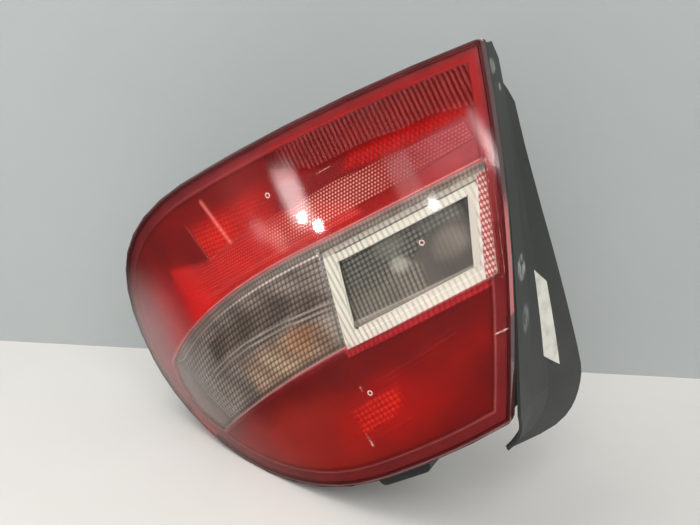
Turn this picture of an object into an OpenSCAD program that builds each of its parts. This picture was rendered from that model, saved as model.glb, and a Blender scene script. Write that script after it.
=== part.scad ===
// Left-hand rear lamp cluster of a hatchback, in the car's own directions:
// X runs inboard, Y runs forward into the body and Z runs up. The lens looks along -Y.
// The origin is midway between the two mounting studs, on the plane where the lamp meets the body.

/* [Lens face] */
// Radius of the face in plan
plan_r = 450; // [430:5:480]
// Radius of the face from top to bottom
side_r = 1000; // [980:10:1200]
// Depth from the foremost point of the face to the mounting plane
face_depth = 92; // [88:1:100]
// Place of the foremost point, inboard of the middle of the studs
crown_x = 70; // [55:1:80]
// Place of the foremost point, below the studs
crown_drop = 30; // [15:1:45]

/* [Outline] */
// Reach of the outboard tip from the middle of the studs
tip_reach = 201; // [194:1:210]
// Drop of the outboard tip below the studs
tip_drop = 10; // [0:1:20]
// Reach of the upper inboard corner
corner_reach = 177; // [174:1:182]
// Height of the upper inboard corner above the studs
corner_height = 74; // [70:1:80]
// Height of the top edge above the studs
top_height = 91; // [88:1:96]
// Depth of the bottom edge below the studs
bottom_drop = 150; // [147:1:156]
// Lean of the inboard edge
inboard_lean = 23.3; // [22:0.1:25]
// Bow of the inboard edge
inboard_bow = 9; // [4:1:12]
// Place where the top edge starts to fall, outboard of the studs' middle
shoulder_reach = 60; // [50:1:70]
// Place where the bottom edge starts to rise, outboard of the studs' middle
heel_reach = 25; // [15:1:35]
// Radius of the lens corners
corner_r = 3; // [2:0.5:6]

/* [Lens moulding] */
// Wall of both lenses
lens_wall = 3.2; // [2.5:0.1:3.6]
// Depth of the skirt behind the face
skirt_depth = 8; // [7:0.5:10]
// Width of the smooth border inside the edge
border_w = 11; // [9:0.5:13]
// Pitch of the upright flutes inside the red lens
flute_pitch = 3.3; // [3:0.1:6]
// Height of the flutes
flute_h = 0.5; // [0.3:0.1:1.2]
// Width of the lap that joins the clear lens to the red one
lap_w = 3; // [2:0.5:4]
// Thickness of the lap
lap_t = 1.5; // [1:0.1:1.8]
// Gap between the two lenses
joint_gap = 0.1; // [0.05:0.05:0.2]

/* [Clear band] */
// Height of the upper edge of the band above the studs
band_top = 12; // [9:1:14]
// Height of the band at its inboard end
band_h = 66; // [60:1:68]
// Distance from the inboard edge to the band, at its upper corner
band_margin = 8; // [7:0.5:10]
// The same at its lower corner
band_foot_margin = 5.5; // [5:0.5:8]
// Radius of the band's corners
band_r = 3; // [2:0.5:7]
// Width of the prismatic frame round the reversing window
frame_w = 9; // [7:0.5:11]
// Reach of the reversing window's frame, inboard of the studs' middle
frame_reach = 23; // [18:1:28]
// Pitch of the frame's prisms
prism_pitch = 4; // [3:0.5:6]
// Height of the frame's prisms
prism_h = 1.2; // [0.6:0.1:1.5]

/* [Reflex reflector] */
// Thickness of the reflector panel
reflex_t = 2; // [1.6:0.1:2.4]
// Pitch of its prisms
reflex_pitch = 4; // [3:0.5:6]
// Height of its prisms
reflex_prism_h = 1.2; // [0.6:0.1:1.5]

/* [Housing] */
// Wall of the housing
wall = 2.5; // [2:0.1:3]
// Depth of the tray behind the face
tray_depth = 30; // [28:1:34]
// Thickness of the bead of sealant
bead_t = 1; // [0.6:0.1:1.5]
// Width of the flange that the lens is bonded to
flange_w = 8; // [7:0.5:9]
// Thickness of that flange
flange_t = 3; // [2:0.5:4]
// Corner radius of the bulb chamber
chamber_r = 18; // [10:1:22]
// Thickness of the gasket on the body
gasket_t = 4; // [3:0.5:5]
// Width of the gasket
gasket_w = 8; // [6:0.5:9]

/* [Fixings] */
// Spacing of the mounting studs
stud_spacing = 256; // [250:1:262]
// Radius of the stud thread
stud_r = 3; // [2.5:0.5:4]
// Length of the stud beyond the mounting plane
stud_len = 26; // [18:1:35]
// Radius of the stud bosses
boss_r = 8; // [6:0.5:9]
// Radius of the locating peg
peg_r = 4.5; // [3.5:0.5:6]
// Length of the peg's straight part
peg_len = 14; // [8:1:20]

/* [Bulbs] */
// Radius of the bulb glass
glass_r = 13; // [11:0.5:13.5]
// Radius of the bulb cap
cap_r = 7.5; // [7:0.1:8]
// Length of the bulb cap
cap_len = 19; // [17:0.5:21]
// Length of a bulb from its base to the top of the glass
bulb_len = 52; // [48:0.5:53]
// Wall of the bulb sockets
socket_wall = 2.2; // [1.8:0.1:2.4]
// Depth of the reflector's plate behind the face
plate_depth = 20; // [19:0.5:21]
// Thickness of the reflector moulding
reflector_t = 2; // [1.5:0.1:2.2]

/* [Bulb holder] */
// Thickness of the carrier plate
plate_t = 2.5; // [2:0.1:3]
// Thickness of the holder seal
seal_t = 1.5; // [1:0.1:1.8]
// Width of the holder seal
seal_w = 6; // [4:0.5:7]
// Width of the connector shell
plug_w = 36; // [30:1:40]
// Height of the connector shell
plug_h = 15; // [13:0.5:18]
// Length of the connector shell
plug_len = 20; // [16:1:26]
// Pitch of the connector blades
blade_pitch = 6.5; // [6:0.1:7]
// Length of the blades
blade_len = 12; // [8:1:15]

/* [Gutter cover] */
// Thickness of the cover
cover_t = 2.2; // [1.8:0.1:2.4]
// Depth of the crease behind the foremost point of the lens
crease_depth = 41; // [40:1:46]
// Step from the strip beside the lens down to the fin
crease_step = 1.3; // [0.6:0.1:1.6]
// Depth of the flared fin at its widest
fin_depth = 64; // [58:1:68]
// Flare of the fin, as a share of its depth
fin_flare = 0.3; // [0.2:0.01:0.32]
// Radius of the curl at the foot of the cover
curl_r = 60; // [50:1:70]
// Angle of that curl
curl_angle = 40; // [30:1:45]

/* [Hidden] */
round_fn = 48;
face_y = -face_depth;
crown_z = -crown_drop;
// Far ends for the prisms that cut or bound the moulded walls
front_y = face_y - 10;
rear_y = 90;
clearance = 0.3;

// Corners and handles of the lens outline, across and up
corner_top = [corner_reach, corner_height];
shoulder = [-shoulder_reach, top_height];
tip = [-tip_reach, -tip_drop];
heel = [-heel_reach, -bottom_drop];
foot_z = -bottom_drop + 6;
corner_foot = [corner_reach - tan(inboard_lean) * (corner_height - foot_z), foot_z];
top_handle = [(corner_reach - shoulder_reach) / 2 + 12, top_height - 2];
shoulder_handle = 90;
tip_handle_up = 70;
tip_handle_down = 52;
heel_handle = 107;

// Corners and handles of the clear band
band_foot = band_top - 2 - band_h;
band_b = [0, band_top];
band_c = [-tip_reach + 32, -tip_drop - 8];
band_d = [-tip_reach + 50, -tip_drop - 71];
band_e = [0, band_foot - 3];

// Corners of the bulb chamber
chamber_top = top_height - 7;
chamber_foot = 9 - bottom_drop;
chamber_corners = [
    [20, chamber_top], [-62, chamber_top], [-103, 20], [-103, -62],
    [-48, chamber_foot], [34, chamber_foot], [104, -58], [104, 12]
];

// Places of the bulbs, and the radii of their bowls
stop_at = [-35, top_height - 45];
indicator_at = [-65, -27];
reversing_at = [67, -22];
fog_at = [0, 50 - bottom_drop];
bowls = [[stop_at, 30.5], [indicator_at, 29.5], [reversing_at, 25.5], [fog_at, 32.5]];
bowl_y = -24;
bowl_focus = 14;
bowl_hole_r = glass_r + 2;

rear_wall_y = -gasket_t;
opening_inset = 20;
holder_inset = 12;
socket_front = -21;
socket_r = cap_r + clearance + socket_wall;
holder_back = rear_wall_y + seal_t + plate_t;
plug_at = [-8, -28];
plug_wall = 2;
peg_at = [-170, -30];
vent_at = [71, 25 - bottom_drop];

function unit(v) = v / norm(v);
function left_of(a, b) = unit([a[1] - b[1], b[0] - a[0]]);
function bend(a, h, b, n) =
    [for (i = [0 : n - 1]) let (t = i / n) (1 - t) ^ 2 * a + 2 * t * (1 - t) * h + t ^ 2 * b];
function curve(a, g, h, b, n) = [
    for (i = [0 : n - 1]) let (t = i / n, s = 1 - t)
        s ^ 3 * a + 3 * s ^ 2 * t * g + 3 * s * t ^ 2 * h + t ^ 3 * b
];

// Every corner of a closed outline moved in by d, square to its two edges
function inset(p, d) = let (n = len(p)) [
    for (i = [0 : n - 1]) let (
        u = left_of(p[(i + n - 1) % n], p[i]),
        v = left_of(p[i], p[(i + 1) % n])
    ) p[i] + d * (u + v) / (1 + u * v)
];

// A closed outline whose sharp corners become arcs
function rounded(p, r, n = 5) = let (m = len(p)) [
    for (i = [0 : m - 1]) let (
        u = unit(p[(i + m - 1) % m] - p[i]),
        v = unit(p[(i + 1) % m] - p[i]),
        half = acos(u * v) / 2
    ) each half > 80 ? [p[i]] : let (
        c = p[i] + unit(u + v) * r / sin(half),
        a = p[i] + u * r / tan(half) - c,
        start = atan2(a[1], a[0])
    ) [for (k = [0 : n]) let (turn = start + (180 - 2 * half) * k / n) c + r * [cos(turn), sin(turn)]]
];

edge_mid = (corner_foot + corner_top) / 2;
edge_out = -left_of(corner_foot, corner_top);
function inboard_edge(n) = bend(corner_foot, edge_mid + 2 * inboard_bow * edge_out, corner_top, n);
sharp_outline = concat(
    bend(corner_top, top_handle, shoulder, 5),
    curve(shoulder, shoulder - [shoulder_handle, 0], tip + [0, tip_handle_up], tip, 9),
    curve(tip, tip - [0, tip_handle_down], heel - [heel_handle, 0], heel, 11),
    bend(heel, [corner_foot[0] / 2, -bottom_drop], corner_foot, 3),
    inboard_edge(7)
);
function outline(d) = rounded(inset(sharp_outline, d), max(corner_r - d, 1));

// Place across of the inboard edge at a height
function edge_x(z) = let (t = (z - foot_z) / (corner_height - foot_z))
    corner_foot[0] + t * (corner_top[0] - corner_foot[0]) + 4 * t * (1 - t) * inboard_bow * edge_out[0];
band_a = [edge_x(band_top - 2) - band_margin, band_top - 2];
band_f = [edge_x(band_foot) - band_foot_margin, band_foot];
sharp_band = concat(
    [band_a],
    bend(band_b, [band_c[0] / 2 - 16, band_top], band_c, 8),
    bend(band_c, [band_c[0] - 17, band_c[1] - 34], band_d, 5),
    bend(band_d, [band_d[0] / 2, band_e[1] - 5], band_e, 6),
    [band_e, band_f]
);
function band(d) = rounded(inset(sharp_band, d), max(band_r - d, 1));
function chamber(d) = rounded(inset(chamber_corners, d), chamber_r - min(d, chamber_r - 2));

// The reversing window inside its prismatic frame
frame_lean = inboard_lean - 7;
frame_foot = [frame_reach - tan(frame_lean) * band_h * 0.93, band_foot - 3];
sharp_frame = [band_a - [2, 6], [frame_reach, band_top - 8], frame_foot, band_f + [-2, 1]];
function window(d) = rounded(inset(sharp_frame, d), 5);

// Place along Y of the face when it is set back by d
function face_at(x, z, d = 0) = let (
    r = side_r - plan_r + sqrt((plan_r - d) ^ 2 - (x - crown_x) ^ 2)
) face_y + side_r - sqrt(r ^ 2 - (z - crown_z) ^ 2);

revolve_back = 190;
reach_up = max(top_height - crown_z, bottom_drop + crown_z) + 20;
revolve_half = asin(reach_up / (side_r - revolve_back));

module prism(p, y0 = front_y, y1 = rear_y) {
    translate([0, y1, 0]) rotate([90, 0, 0]) linear_extrude(y1 - y0) polygon(p);
}

module ring(outer, inner, y0 = front_y, y1 = rear_y) {
    translate([0, y1, 0]) rotate([90, 0, 0]) linear_extrude(y1 - y0) difference() {
        polygon(outer);
        polygon(inner);
    }
}

module along_y(at, y) {
    translate([at[0], y, at[1]]) rotate([-90, 0, 0]) children();
}

module revolve() {
    translate([crown_x, face_y + side_r, crown_z]) rotate([0, 90, 0])
        rotate_extrude(angle = 2 * revolve_half, start = 270 - revolve_half, $fn = 180) children();
}

// All that lies behind the face when the face is set back by this much
module behind(set_back) {
    revolve() intersection() {
        translate([side_r - plan_r, 0]) circle(plan_r - set_back, $fn = 180);
        translate([side_r - revolve_back, -crown_x - tip_reach - 25])
            square([revolve_back + 1, tip_reach + corner_reach + 40]);
    }
}

// The same, with fine V flutes round the revolve between two places across
module behind_flutes(set_back, x0, x1, pitch, height) {
    count = floor((x1 - x0) / pitch);
    revolve() polygon(concat(
        [[side_r - revolve_back, x0 - crown_x]],
        [for (i = [0 : 2 * count]) let (x = x0 - crown_x + i * pitch / 2)
            [side_r - plan_r + sqrt((plan_r - set_back - (i % 2) * height) ^ 2 - x ^ 2), x]],
        [[side_r - revolve_back, x0 - crown_x + count * pitch]]
    ));
}

module layer(near, far) {
    difference() {
        intersection() {
            children();
            behind(near);
        }
        behind(far);
    }
}

// Area of the upright flutes, along the top of the red lens
flute_x0 = corner_reach - 161;
module flute_area() {
    far_x = corner_reach + 5;
    far_z = top_height + 5;
    intersection() {
        polygon(outline(border_w));
        polygon([
            [flute_x0, band_top + 56], [corner_reach - 132, band_top + 43],
            [corner_reach - 88, band_top + 41], [corner_reach - 66, band_top + 37],
            [corner_reach - 45, band_top + 36], [corner_reach - 18, band_top + 28],
            [far_x, band_top + 26], [far_x, far_z], [flute_x0, far_z]
        ]);
    }
}

module fluted_pocket(x0, x1, pitch, set_back, height) {
    intersection() {
        translate([0, rear_y, 0]) rotate([90, 0, 0]) linear_extrude(rear_y - front_y) children();
        behind_flutes(set_back, x0, x1, pitch, height);
    }
}

module tube_y(at, r, bore, y0, y1) {
    along_y(at, y0) difference() {
        cylinder(r = r, h = y1 - y0, $fn = round_fn);
        translate([0, 0, -1]) cylinder(r = bore, h = y1 - y0 + 2, $fn = round_fn);
    }
}

// A solid through rings of points, each ring one closed section
module loft(rings) {
    n = len(rings[0]);
    m = len(rings);
    polyhedron([for (r = rings) each r], concat(
        [for (i = [0 : m - 2], k = [0 : n - 1]) each let (
            a = i * n + k, b = i * n + (k + 1) % n
        ) [[a, b, b + n], [a, b + n, a + n]]],
        [[for (k = [n - 1 : -1 : 0]) k], [for (k = [0 : n - 1]) (m - 1) * n + k]]
    ));
}

module red_lens() color([0.62, 0.05, 0.06]) {
    difference() {
        layer(0, skirt_depth) prism(outline(0));
        intersection() {
            prism(outline(lens_wall));
            behind(lens_wall);
        }
        prism(band(0));
        fluted_pocket(flute_x0, corner_reach - border_w, flute_pitch, lens_wall - flute_h, flute_h)
            flute_area();
    }
}

module clear_lens() color([0.86, 0.85, 0.82, 0.6]) {
    lap_at = lens_wall + joint_gap;
    difference() {
        layer(0, lap_at + lap_t) prism(band(-lap_w));
        difference() {
            ring(band(-lap_w - 2), band(joint_gap));
            behind(lap_at);
        }
        intersection() {
            difference() {
                prism(band(lap_w));
                ring(window(0), window(frame_w), front_y - 1, rear_y + 1);
            }
            behind(lens_wall);
        }
        fluted_pocket(frame_foot[0] - 12, band_a[0] + 8, prism_pitch, lens_wall + 0.3, prism_h) difference() {
            polygon(window(-0.3));
            polygon(window(frame_w + 0.3));
        }
    }
}

// Lower and upper edge of the reflex panel above the band
reflex_low = 9;
reflex_top = 29;
reflex_x0 = 111 - tip_reach;
reflex_x1 = band_a[0] - 2;
function across(a, b, t) = a + (b - a) * t;
function reflex_point(u, v, d) = let (
    x = across(reflex_x0, reflex_x1, u),
    low = band_top + reflex_low - 8 * (min(x, 0) / reflex_x0) ^ 2,
    top = band_top + reflex_top - 2.2 * ((x - 50) / 94) ^ 2,
    z = across(low, top, v)
) [x, face_at(x, z, d), z];

// The panel follows the inside of the lens, and each prism on its back is a small pyramid
module reflex_reflector() color([0.72, 0.06, 0.07]) {
    nx = floor((reflex_x1 - reflex_x0) / reflex_pitch);
    nz = floor((reflex_top - reflex_low) / reflex_pitch);
    front = lens_wall + clearance;
    back = front + reflex_t - reflex_prism_h;
    row = nz + 1;
    count = (nx + 1) * row;
    points = concat(
        [for (i = [0 : nx], j = [0 : nz]) reflex_point(i / nx, j / nz, front)],
        [for (i = [0 : nx], j = [0 : nz]) reflex_point(i / nx, j / nz, back)],
        [for (i = [0 : nx - 1], j = [0 : nz - 1])
            reflex_point((i + 0.5) / nx, (j + 0.5) / nz, back + reflex_prism_h)]
    );
    polyhedron(points, concat(
        [for (i = [0 : nx - 1], j = [0 : nz - 1]) each let (
            a = i * row + j, b = a + row, c = 2 * count + i * nz + j, d = a + count, e = b + count
        ) [
            [a, b, b + 1], [a, b + 1, a + 1],
            [d, d + 1, c], [d + 1, e + 1, c], [e + 1, e, c], [e, d, c]
        ]],
        [for (i = [0 : nx - 1]) each let (a = i * row, b = a + row, c = a + nz, d = b + nz) [
            [a, a + count, b + count], [a, b + count, b],
            [c, d, d + count], [c, d + count, c + count]
        ]],
        [for (j = [0 : nz - 1]) each let (a = j, c = nx * row + j) [
            [a, a + 1, a + 1 + count], [a, a + 1 + count, a + count],
            [c, c + count, c + 1 + count], [c, c + 1 + count, c + 1]
        ]]
    ));
}

module lens_seal() color([0.12, 0.12, 0.12]) {
    layer(skirt_depth, skirt_depth + bead_t) ring(outline(1), outline(flange_w - 2));
}

flange_at = skirt_depth + bead_t;
stud_places = [[-stud_spacing / 2, 0], [stud_spacing / 2, 0]];
stud_collar_t = 1;
stud_sunk = 10;
// Each boss stands proud of the tray, and its stud goes no deeper than the tray's back
function boss_top(p) = max(-stud_collar_t, face_at(p[0] - boss_r, p[1], tray_depth) + 2);
function stud_from(p) = max(boss_top(p) - stud_sunk, face_at(p[0] - boss_r, p[1], tray_depth) + clearance);
peg_collar_r = peg_r + 4;
peg_base_y = face_at(peg_at[0] - peg_collar_r, peg_at[1], tray_depth) + 3;
vent_y = face_at(vent_at[0], vent_at[1], tray_depth);
post_places = [[-150, 30], [-140, -80], [140, 55], [60, top_height - 19], [58, 20 - bottom_drop]];
hook_w = 10;
hook_t = 1.8;

// Foot under the housing, which the lamp is set down on
foot_x = -13;
foot_w = 54;
foot_h = 9;

// Hooks that hold the carrier plate, each with its place on the plate's edge and its turn
hook_places = [
    [[-103, -21], 0], [[104, -23], 180], [[-21, chamber_top], 270], [[-7, chamber_foot], 90]
];

// Gussets from the chamber wall to the tray: place on the wall, direction, reach and top
gussets = [
    [[103, -40], 0, 34, -18], [[103, 5.5], 0, 40, -18], [[66, 44], 45, 40, -20],
    [[-12, chamber_foot + 1], 270, 6, -20], [[72, -96], -45, 30, -22],
    [[-84, 50], 150, 34, -14], [[-102, -40], 180, 40, -8], [[-76, -100], 215, 30, -12]
];

module stud_boss(at) {
    intersection() {
        difference() {
            along_y(at, front_y) cylinder(r = boss_r, h = boss_top(at) - front_y, $fn = round_fn);
            along_y(at, stud_from(at) - clearance) cylinder(r = stud_r + 0.05, h = 40, $fn = round_fn);
        }
        behind(tray_depth - 1);
    }
}

module gusset(at, turn, reach, top) {
    low = face_at(at[0], at[1], tray_depth) - 8;
    intersection() {
        translate([at[0], 0, at[1]]) rotate([0, -turn, 0]) translate([0, 0, -1]) linear_extrude(2)
            polygon([[-1, low], [reach, low], [reach, low + 16], [-1, top]]);
        behind(tray_depth - 1);
        prism(outline(3.5));
    }
}

module hook(at, turn) {
    along = holder_inset - clearance;
    translate([at[0], 0, at[1]]) rotate([0, -turn, 0]) translate([0, 0, -hook_w / 2]) linear_extrude(hook_w)
        polygon([
            [along - hook_t, rear_wall_y - 0.5], [along, rear_wall_y - 0.5],
            [along, holder_back + clearance], [along + 1.5, holder_back + clearance],
            [along, holder_back + 3], [along - hook_t, holder_back + 3]
        ]);
}

module housing() color([0.13, 0.13, 0.14]) {
    difference() {
        union() {
            difference() {
                intersection() {
                    prism(outline(3));
                    behind(flange_at + 0.5);
                }
                behind(tray_depth);
                difference() {
                    prism(outline(3 + wall));
                    behind(tray_depth - wall);
                }
            }
            layer(flange_at, flange_at + flange_t) ring(outline(0.4), outline(flange_w));
            intersection() {
                ring(chamber(0), chamber(wall), front_y, rear_wall_y);
                behind(tray_depth - wall);
            }
            for (g = gussets) gusset(g[0], g[1], g[2], g[3]);
            layer(flange_at + flange_t + 2, tray_depth + 10) prism(rounded([
                [foot_x + foot_w / 2, 4 - bottom_drop],
                [foot_x - foot_w / 2, 4 - bottom_drop],
                [foot_x - foot_w / 2 + 4, -bottom_drop - foot_h],
                [foot_x + foot_w / 2 - 8, -bottom_drop - foot_h]
            ], 5));
        }
        prism(chamber(wall), front_y, rear_wall_y - wall);
        along_y(vent_at, vent_y - 12) cylinder(r = 2, h = 20, $fn = round_fn);
    }
    ring(chamber(0), chamber(opening_inset), rear_wall_y - wall, rear_wall_y);
    for (p = stud_places) stud_boss(p);
    for (h = hook_places) hook(h[0], h[1]);
    for (p = post_places) intersection() {
        along_y(p, front_y) cylinder(r = 4, h = 150, $fn = round_fn);
        layer(plate_depth + reflector_t + clearance, tray_depth - 1) prism(outline(flange_w));
    }
    intersection() {
        tube_y(vent_at, 4, 2, front_y, vent_y + 9);
        behind(tray_depth - 1);
    }
    intersection() {
        along_y(peg_at, front_y) union() {
            cylinder(r = peg_collar_r, h = peg_base_y - front_y, $fn = round_fn);
            cylinder(r = peg_r, h = peg_base_y - front_y + peg_len, $fn = round_fn);
            translate([0, 0, peg_base_y - front_y + peg_len])
                cylinder(r1 = peg_r, r2 = peg_r - 2.5, h = 4, $fn = round_fn);
        }
        behind(tray_depth - 1);
    }
}

// The cover follows the inboard edge down and curls under the foot of the lens
cover_gap = 0.5;
cover_foot_out = 4;
cover_stations = 16;
curl_stations = 8;
foot_out = left_of(edge_mid + 2 * inboard_bow * edge_out, corner_foot);
curl_start = corner_foot + (cover_foot_out - cover_gap) * foot_out;
// Two more stations shape the strip's top corner and the fin's shoulder
cover_steps = [16.75, 16, 15, 14.6, for (i = [14 : -1 : 1]) i];
cover_line = concat(
    [for (i = cover_steps) let (
        t = (i - 0.5) / cover_stations * 0.97,
        h = edge_mid + 2 * inboard_bow * edge_out,
        p = (1 - t) ^ 2 * corner_foot + 2 * t * (1 - t) * h + t ^ 2 * corner_top,
        q = (1 - t) * (h - corner_foot) + t * (corner_top - h),
        o = -left_of([0, 0], q)
    ) [p + (cover_foot_out * (1 - t) ^ 4 - cover_gap) * o, o, (1 - t), 0]],
    [for (i = [0 : curl_stations]) let (
        turn = atan2(foot_out[1], foot_out[0]) - curl_angle * i / curl_stations,
        o = [cos(turn), sin(turn)]
    ) [curl_start + curl_r * (o - foot_out), o, 1, i / curl_stations]]
);
// Share of the fin's full depth along the line: it starts below the top, grows down the edge
// and closes at the tip
fin_start = 0.13;
shoulder_share = 0.15;
function fin_share(down, curl) = curl > 0
    ? 1 - 0.9 * curl ^ 6
    : max(0, min(shoulder_share, 5 * (down - fin_start)))
        + (1 - shoulder_share) * max(0, min(1, (down - 0.15) / 0.83)) ^ 1.3;
strip_front = flange_at + flange_t + clearance;
top_round = [9, 1];
// The crease is foremost beside the band and falls back towards both ends
function crease_y(down) = face_y + crease_depth
    + 10 * max(0, 1 - down / 0.32) + 8.7 * max(0, min(1, (down - 0.48) / 0.42));

function cover_section(i, near, far) = let (
    s = cover_line[i], p = s[0], o = s[1],
    crease = crease_y(s[2]),
    lens_edge = face_at(p[0], max(p[1], foot_z), strip_front),
    y0 = lens_edge + (crease - lens_edge) * min(1, 1.25 * s[3]),
    yc = max(y0 + 1.4, crease - (i < len(top_round) ? top_round[i] : 0)),
    d = 1 + fin_depth * fin_share(s[2], s[3]),
    e = fin_flare * d,
    f = far - crease_step,
    n = near - crease_step
) [for (q = [
    [y0, far], [yc, far], [yc + 0.4, f], [yc + 0.45 * d, 0.25 * e + f], [yc + d, e + f],
    [yc + d, e + n], [yc + 0.45 * d, 0.25 * e + n], [yc + 0.4, n], [yc - 0.6, near], [y0, near]
]) [p[0] + o[0] * q[1], q[0], p[1] + o[1] * q[1]]];

module gutter_cover() color([0.12, 0.12, 0.13]) {
    loft([for (i = [0 : len(cover_line) - 1]) cover_section(i, -cover_t, 0)]);
}

// A place on the outer face of the fin, between two stations of the cover
function fin_point(at, k, share, lift) = let (
    i = floor(at),
    a = cover_section(i, -cover_t, lift),
    b = cover_section(i + 1, -cover_t, lift)
) across(across(a[k], a[k + 1], share), across(b[k], b[k + 1], share), at - i);

// The label lies on the outer face of the fin, with its ends cut on a slant: each row has
// the stations of its two long edges
label_rows = [[11.55, 12.3], [12, 12.6], [13, 13], [14, 14], [15, 15], [15.4, 16], [15.85, 16.6]];
label_lift = 0.1;
label_t = 0.24;
module label() color([0.86, 0.84, 0.74]) {
    loft([for (row = label_rows) let (
        mid = (row[0] + row[1]) / 2,
        under = label_lift,
        over = label_lift + label_t
    ) [
        fin_point(row[0], 2, 0.8, over), fin_point(mid, 3, 0.1, over), fin_point(row[1], 3, 0.35, over),
        fin_point(row[1], 3, 0.35, under), fin_point(mid, 3, 0.1, under), fin_point(row[0], 2, 0.8, under)
    ]]);
}

module bowl_inside(at, r) {
    along_y(at, bowl_y) rotate([180, 0, 0]) rotate_extrude($fn = round_fn) polygon(concat(
        [[0, -10], [bowl_hole_r, -10]],
        [for (i = [0 : 6]) let (q = bowl_hole_r + (r - bowl_hole_r) * i / 6)
            [q, (q ^ 2 - bowl_hole_r ^ 2) / 4 / bowl_focus]],
        [[r + 2, 60], [0, 60]]
    ));
}

module bowl_outside(at, r) {
    along_y(at, bowl_y) rotate([180, 0, 0]) rotate_extrude($fn = round_fn) polygon(concat(
        [[0, 0]],
        [for (i = [0 : 6]) let (q = bowl_hole_r + (r - bowl_hole_r) * i / 6)
            [q + reflector_t, (q ^ 2 - bowl_hole_r ^ 2) / 4 / bowl_focus - 0.4]],
        [[r + 2 + reflector_t, 60], [0, 60]]
    ));
}

module reflector() color([0.82, 0.83, 0.85]) {
    inset_d = flange_w + 1;
    wall_near = flange_at + 1.5;
    divide = lens_wall + joint_gap + lap_t + 0.4;
    difference() {
        union() {
            layer(plate_depth, plate_depth + reflector_t) prism(outline(inset_d));
            layer(wall_near, plate_depth + 0.5) ring(outline(inset_d), outline(inset_d + 1.8));
            intersection() {
                layer(divide, plate_depth + 0.5) ring(band(-lap_w - 0.4), band(-lap_w + 1.4));
                prism(outline(inset_d + 0.5));
            }
            layer(divide, plate_depth + 0.5) prism([
                [frame_reach - 2, band_top - 4], [frame_reach - 3.8, band_top - 4],
                frame_foot - [3.8, -2], frame_foot - [2, -2]
            ]);
            intersection() {
                for (b = bowls) bowl_outside(b[0], b[1]);
                behind(plate_depth + reflector_t / 2);
            }
        }
        for (b = bowls) intersection() {
            bowl_inside(b[0], b[1]);
            behind(plate_depth - 0.01);
        }
    }
}

// Contact strips on the carrier, each a bent line from its bulb to its blade
plug_row = [for (i = [-2 : 2]) plug_at[0] + i * blade_pitch];
tracks = [
    [indicator_at, [plug_row[0], indicator_at[1]]],
    [stop_at, [plug_row[1], stop_at[1]], [plug_row[1], plug_at[1]]],
    [[stop_at[0] + 14, stop_at[1] + 13], [plug_row[2], stop_at[1] + 13], [plug_row[2], plug_at[1]]],
    [[plug_row[3], fog_at[1]], [plug_row[3], plug_at[1]]],
    [reversing_at, [plug_row[4], reversing_at[1]], [plug_row[4], plug_at[1]]]
];
track_w = 4;
track_t = 0.6;

module track(line, grow, height) {
    half = track_w / 2 + grow;
    for (i = [0 : len(line) - 2]) let (a = line[i], b = line[i + 1])
        translate([min(a[0], b[0]) - half, holder_back, min(a[1], b[1]) - half])
            cube([abs(a[0] - b[0]) + 2 * half, height, abs(a[1] - b[1]) + 2 * half]);
}

module contact_tracks() color([0.78, 0.68, 0.42]) {
    for (t = tracks) track(t, 0, track_t);
    for (x = plug_row) translate([x - 0.4, holder_back + track_t - 0.1, plug_at[1] - 2.4])
        cube([0.8, blade_len, 4.8]);
}

module bulb_holder() color([0.72, 0.72, 0.7]) {
    front = holder_back - plate_t;
    difference() {
        union() {
            prism(chamber(holder_inset), front, holder_back);
            ring(chamber(opening_inset + 1), chamber(opening_inset + 3.5), -14, front + 0.5);
            for (b = bowls) along_y(b[0], socket_front)
                cylinder(r = socket_r, h = front - socket_front + 0.5, $fn = round_fn);
            difference() {
                translate([plug_at[0] - plug_w / 2, holder_back - 0.5, plug_at[1] - plug_h / 2])
                    cube([plug_w, plug_len + 0.5, plug_h]);
                translate([plug_at[0] - plug_w / 2, holder_back, plug_at[1] - plug_h / 2])
                    translate([plug_wall, 0, plug_wall])
                        cube([plug_w - 2 * plug_wall, plug_len + 1, plug_h - 2 * plug_wall]);
                for (t = tracks) track(t, 0.2, track_t + 0.2);
            }
        }
        for (b = bowls) along_y(b[0], socket_front - 1)
            cylinder(r = cap_r + clearance, h = front - socket_front + 1, $fn = round_fn);
    }
    for (z = [chamber_foot + 37, -66, 22, chamber_top - 24])
        translate([plug_at[0] - 34, holder_back - 0.5, z]) cube([18, 3.5, 1.6]);
}

module holder_seal() color([0.1, 0.1, 0.11]) {
    edge = holder_inset + 0.5;
    ring(chamber(edge), chamber(edge + seal_w), rear_wall_y, rear_wall_y + seal_t);
}

module body_gasket() color([0.16, 0.16, 0.17]) {
    ring(chamber(1), chamber(1 + gasket_w), rear_wall_y, rear_wall_y + gasket_t);
}

module breather_cap() color([0.2, 0.2, 0.21]) {
    along_y(vent_at, vent_y + 1) difference() {
        cylinder(r = 7, h = 11, $fn = round_fn);
        translate([0, 0, -1]) cylinder(r = 5.6, h = 7, $fn = round_fn);
        translate([0, 0, -1]) cylinder(r = 4.1, h = 9.5, $fn = round_fn);
    }
}

module mounting_studs() color([0.75, 0.73, 0.66]) {
    for (p = stud_places) {
        along_y(p, stud_from(p)) cylinder(r = stud_r, h = stud_len - stud_from(p), $fn = round_fn);
        along_y(p, boss_top(p)) cylinder(r = stud_r + 3, h = stud_collar_t, $fn = round_fn);
    }
}

bulb_base_y = holder_back - plate_t - clearance;
module bulb_glass(at) {
    along_y(at, bulb_base_y) rotate([180, 0, 0]) rotate_extrude($fn = round_fn) polygon(concat(
        [[0, cap_len], [cap_r - 0.6, cap_len], [cap_r - 0.2, cap_len + 3]],
        [for (i = [0 : 14]) let (a = -52 + 142 * i / 14)
            [glass_r * cos(a), bulb_len - glass_r + glass_r * sin(a)]]
    ));
}

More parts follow.
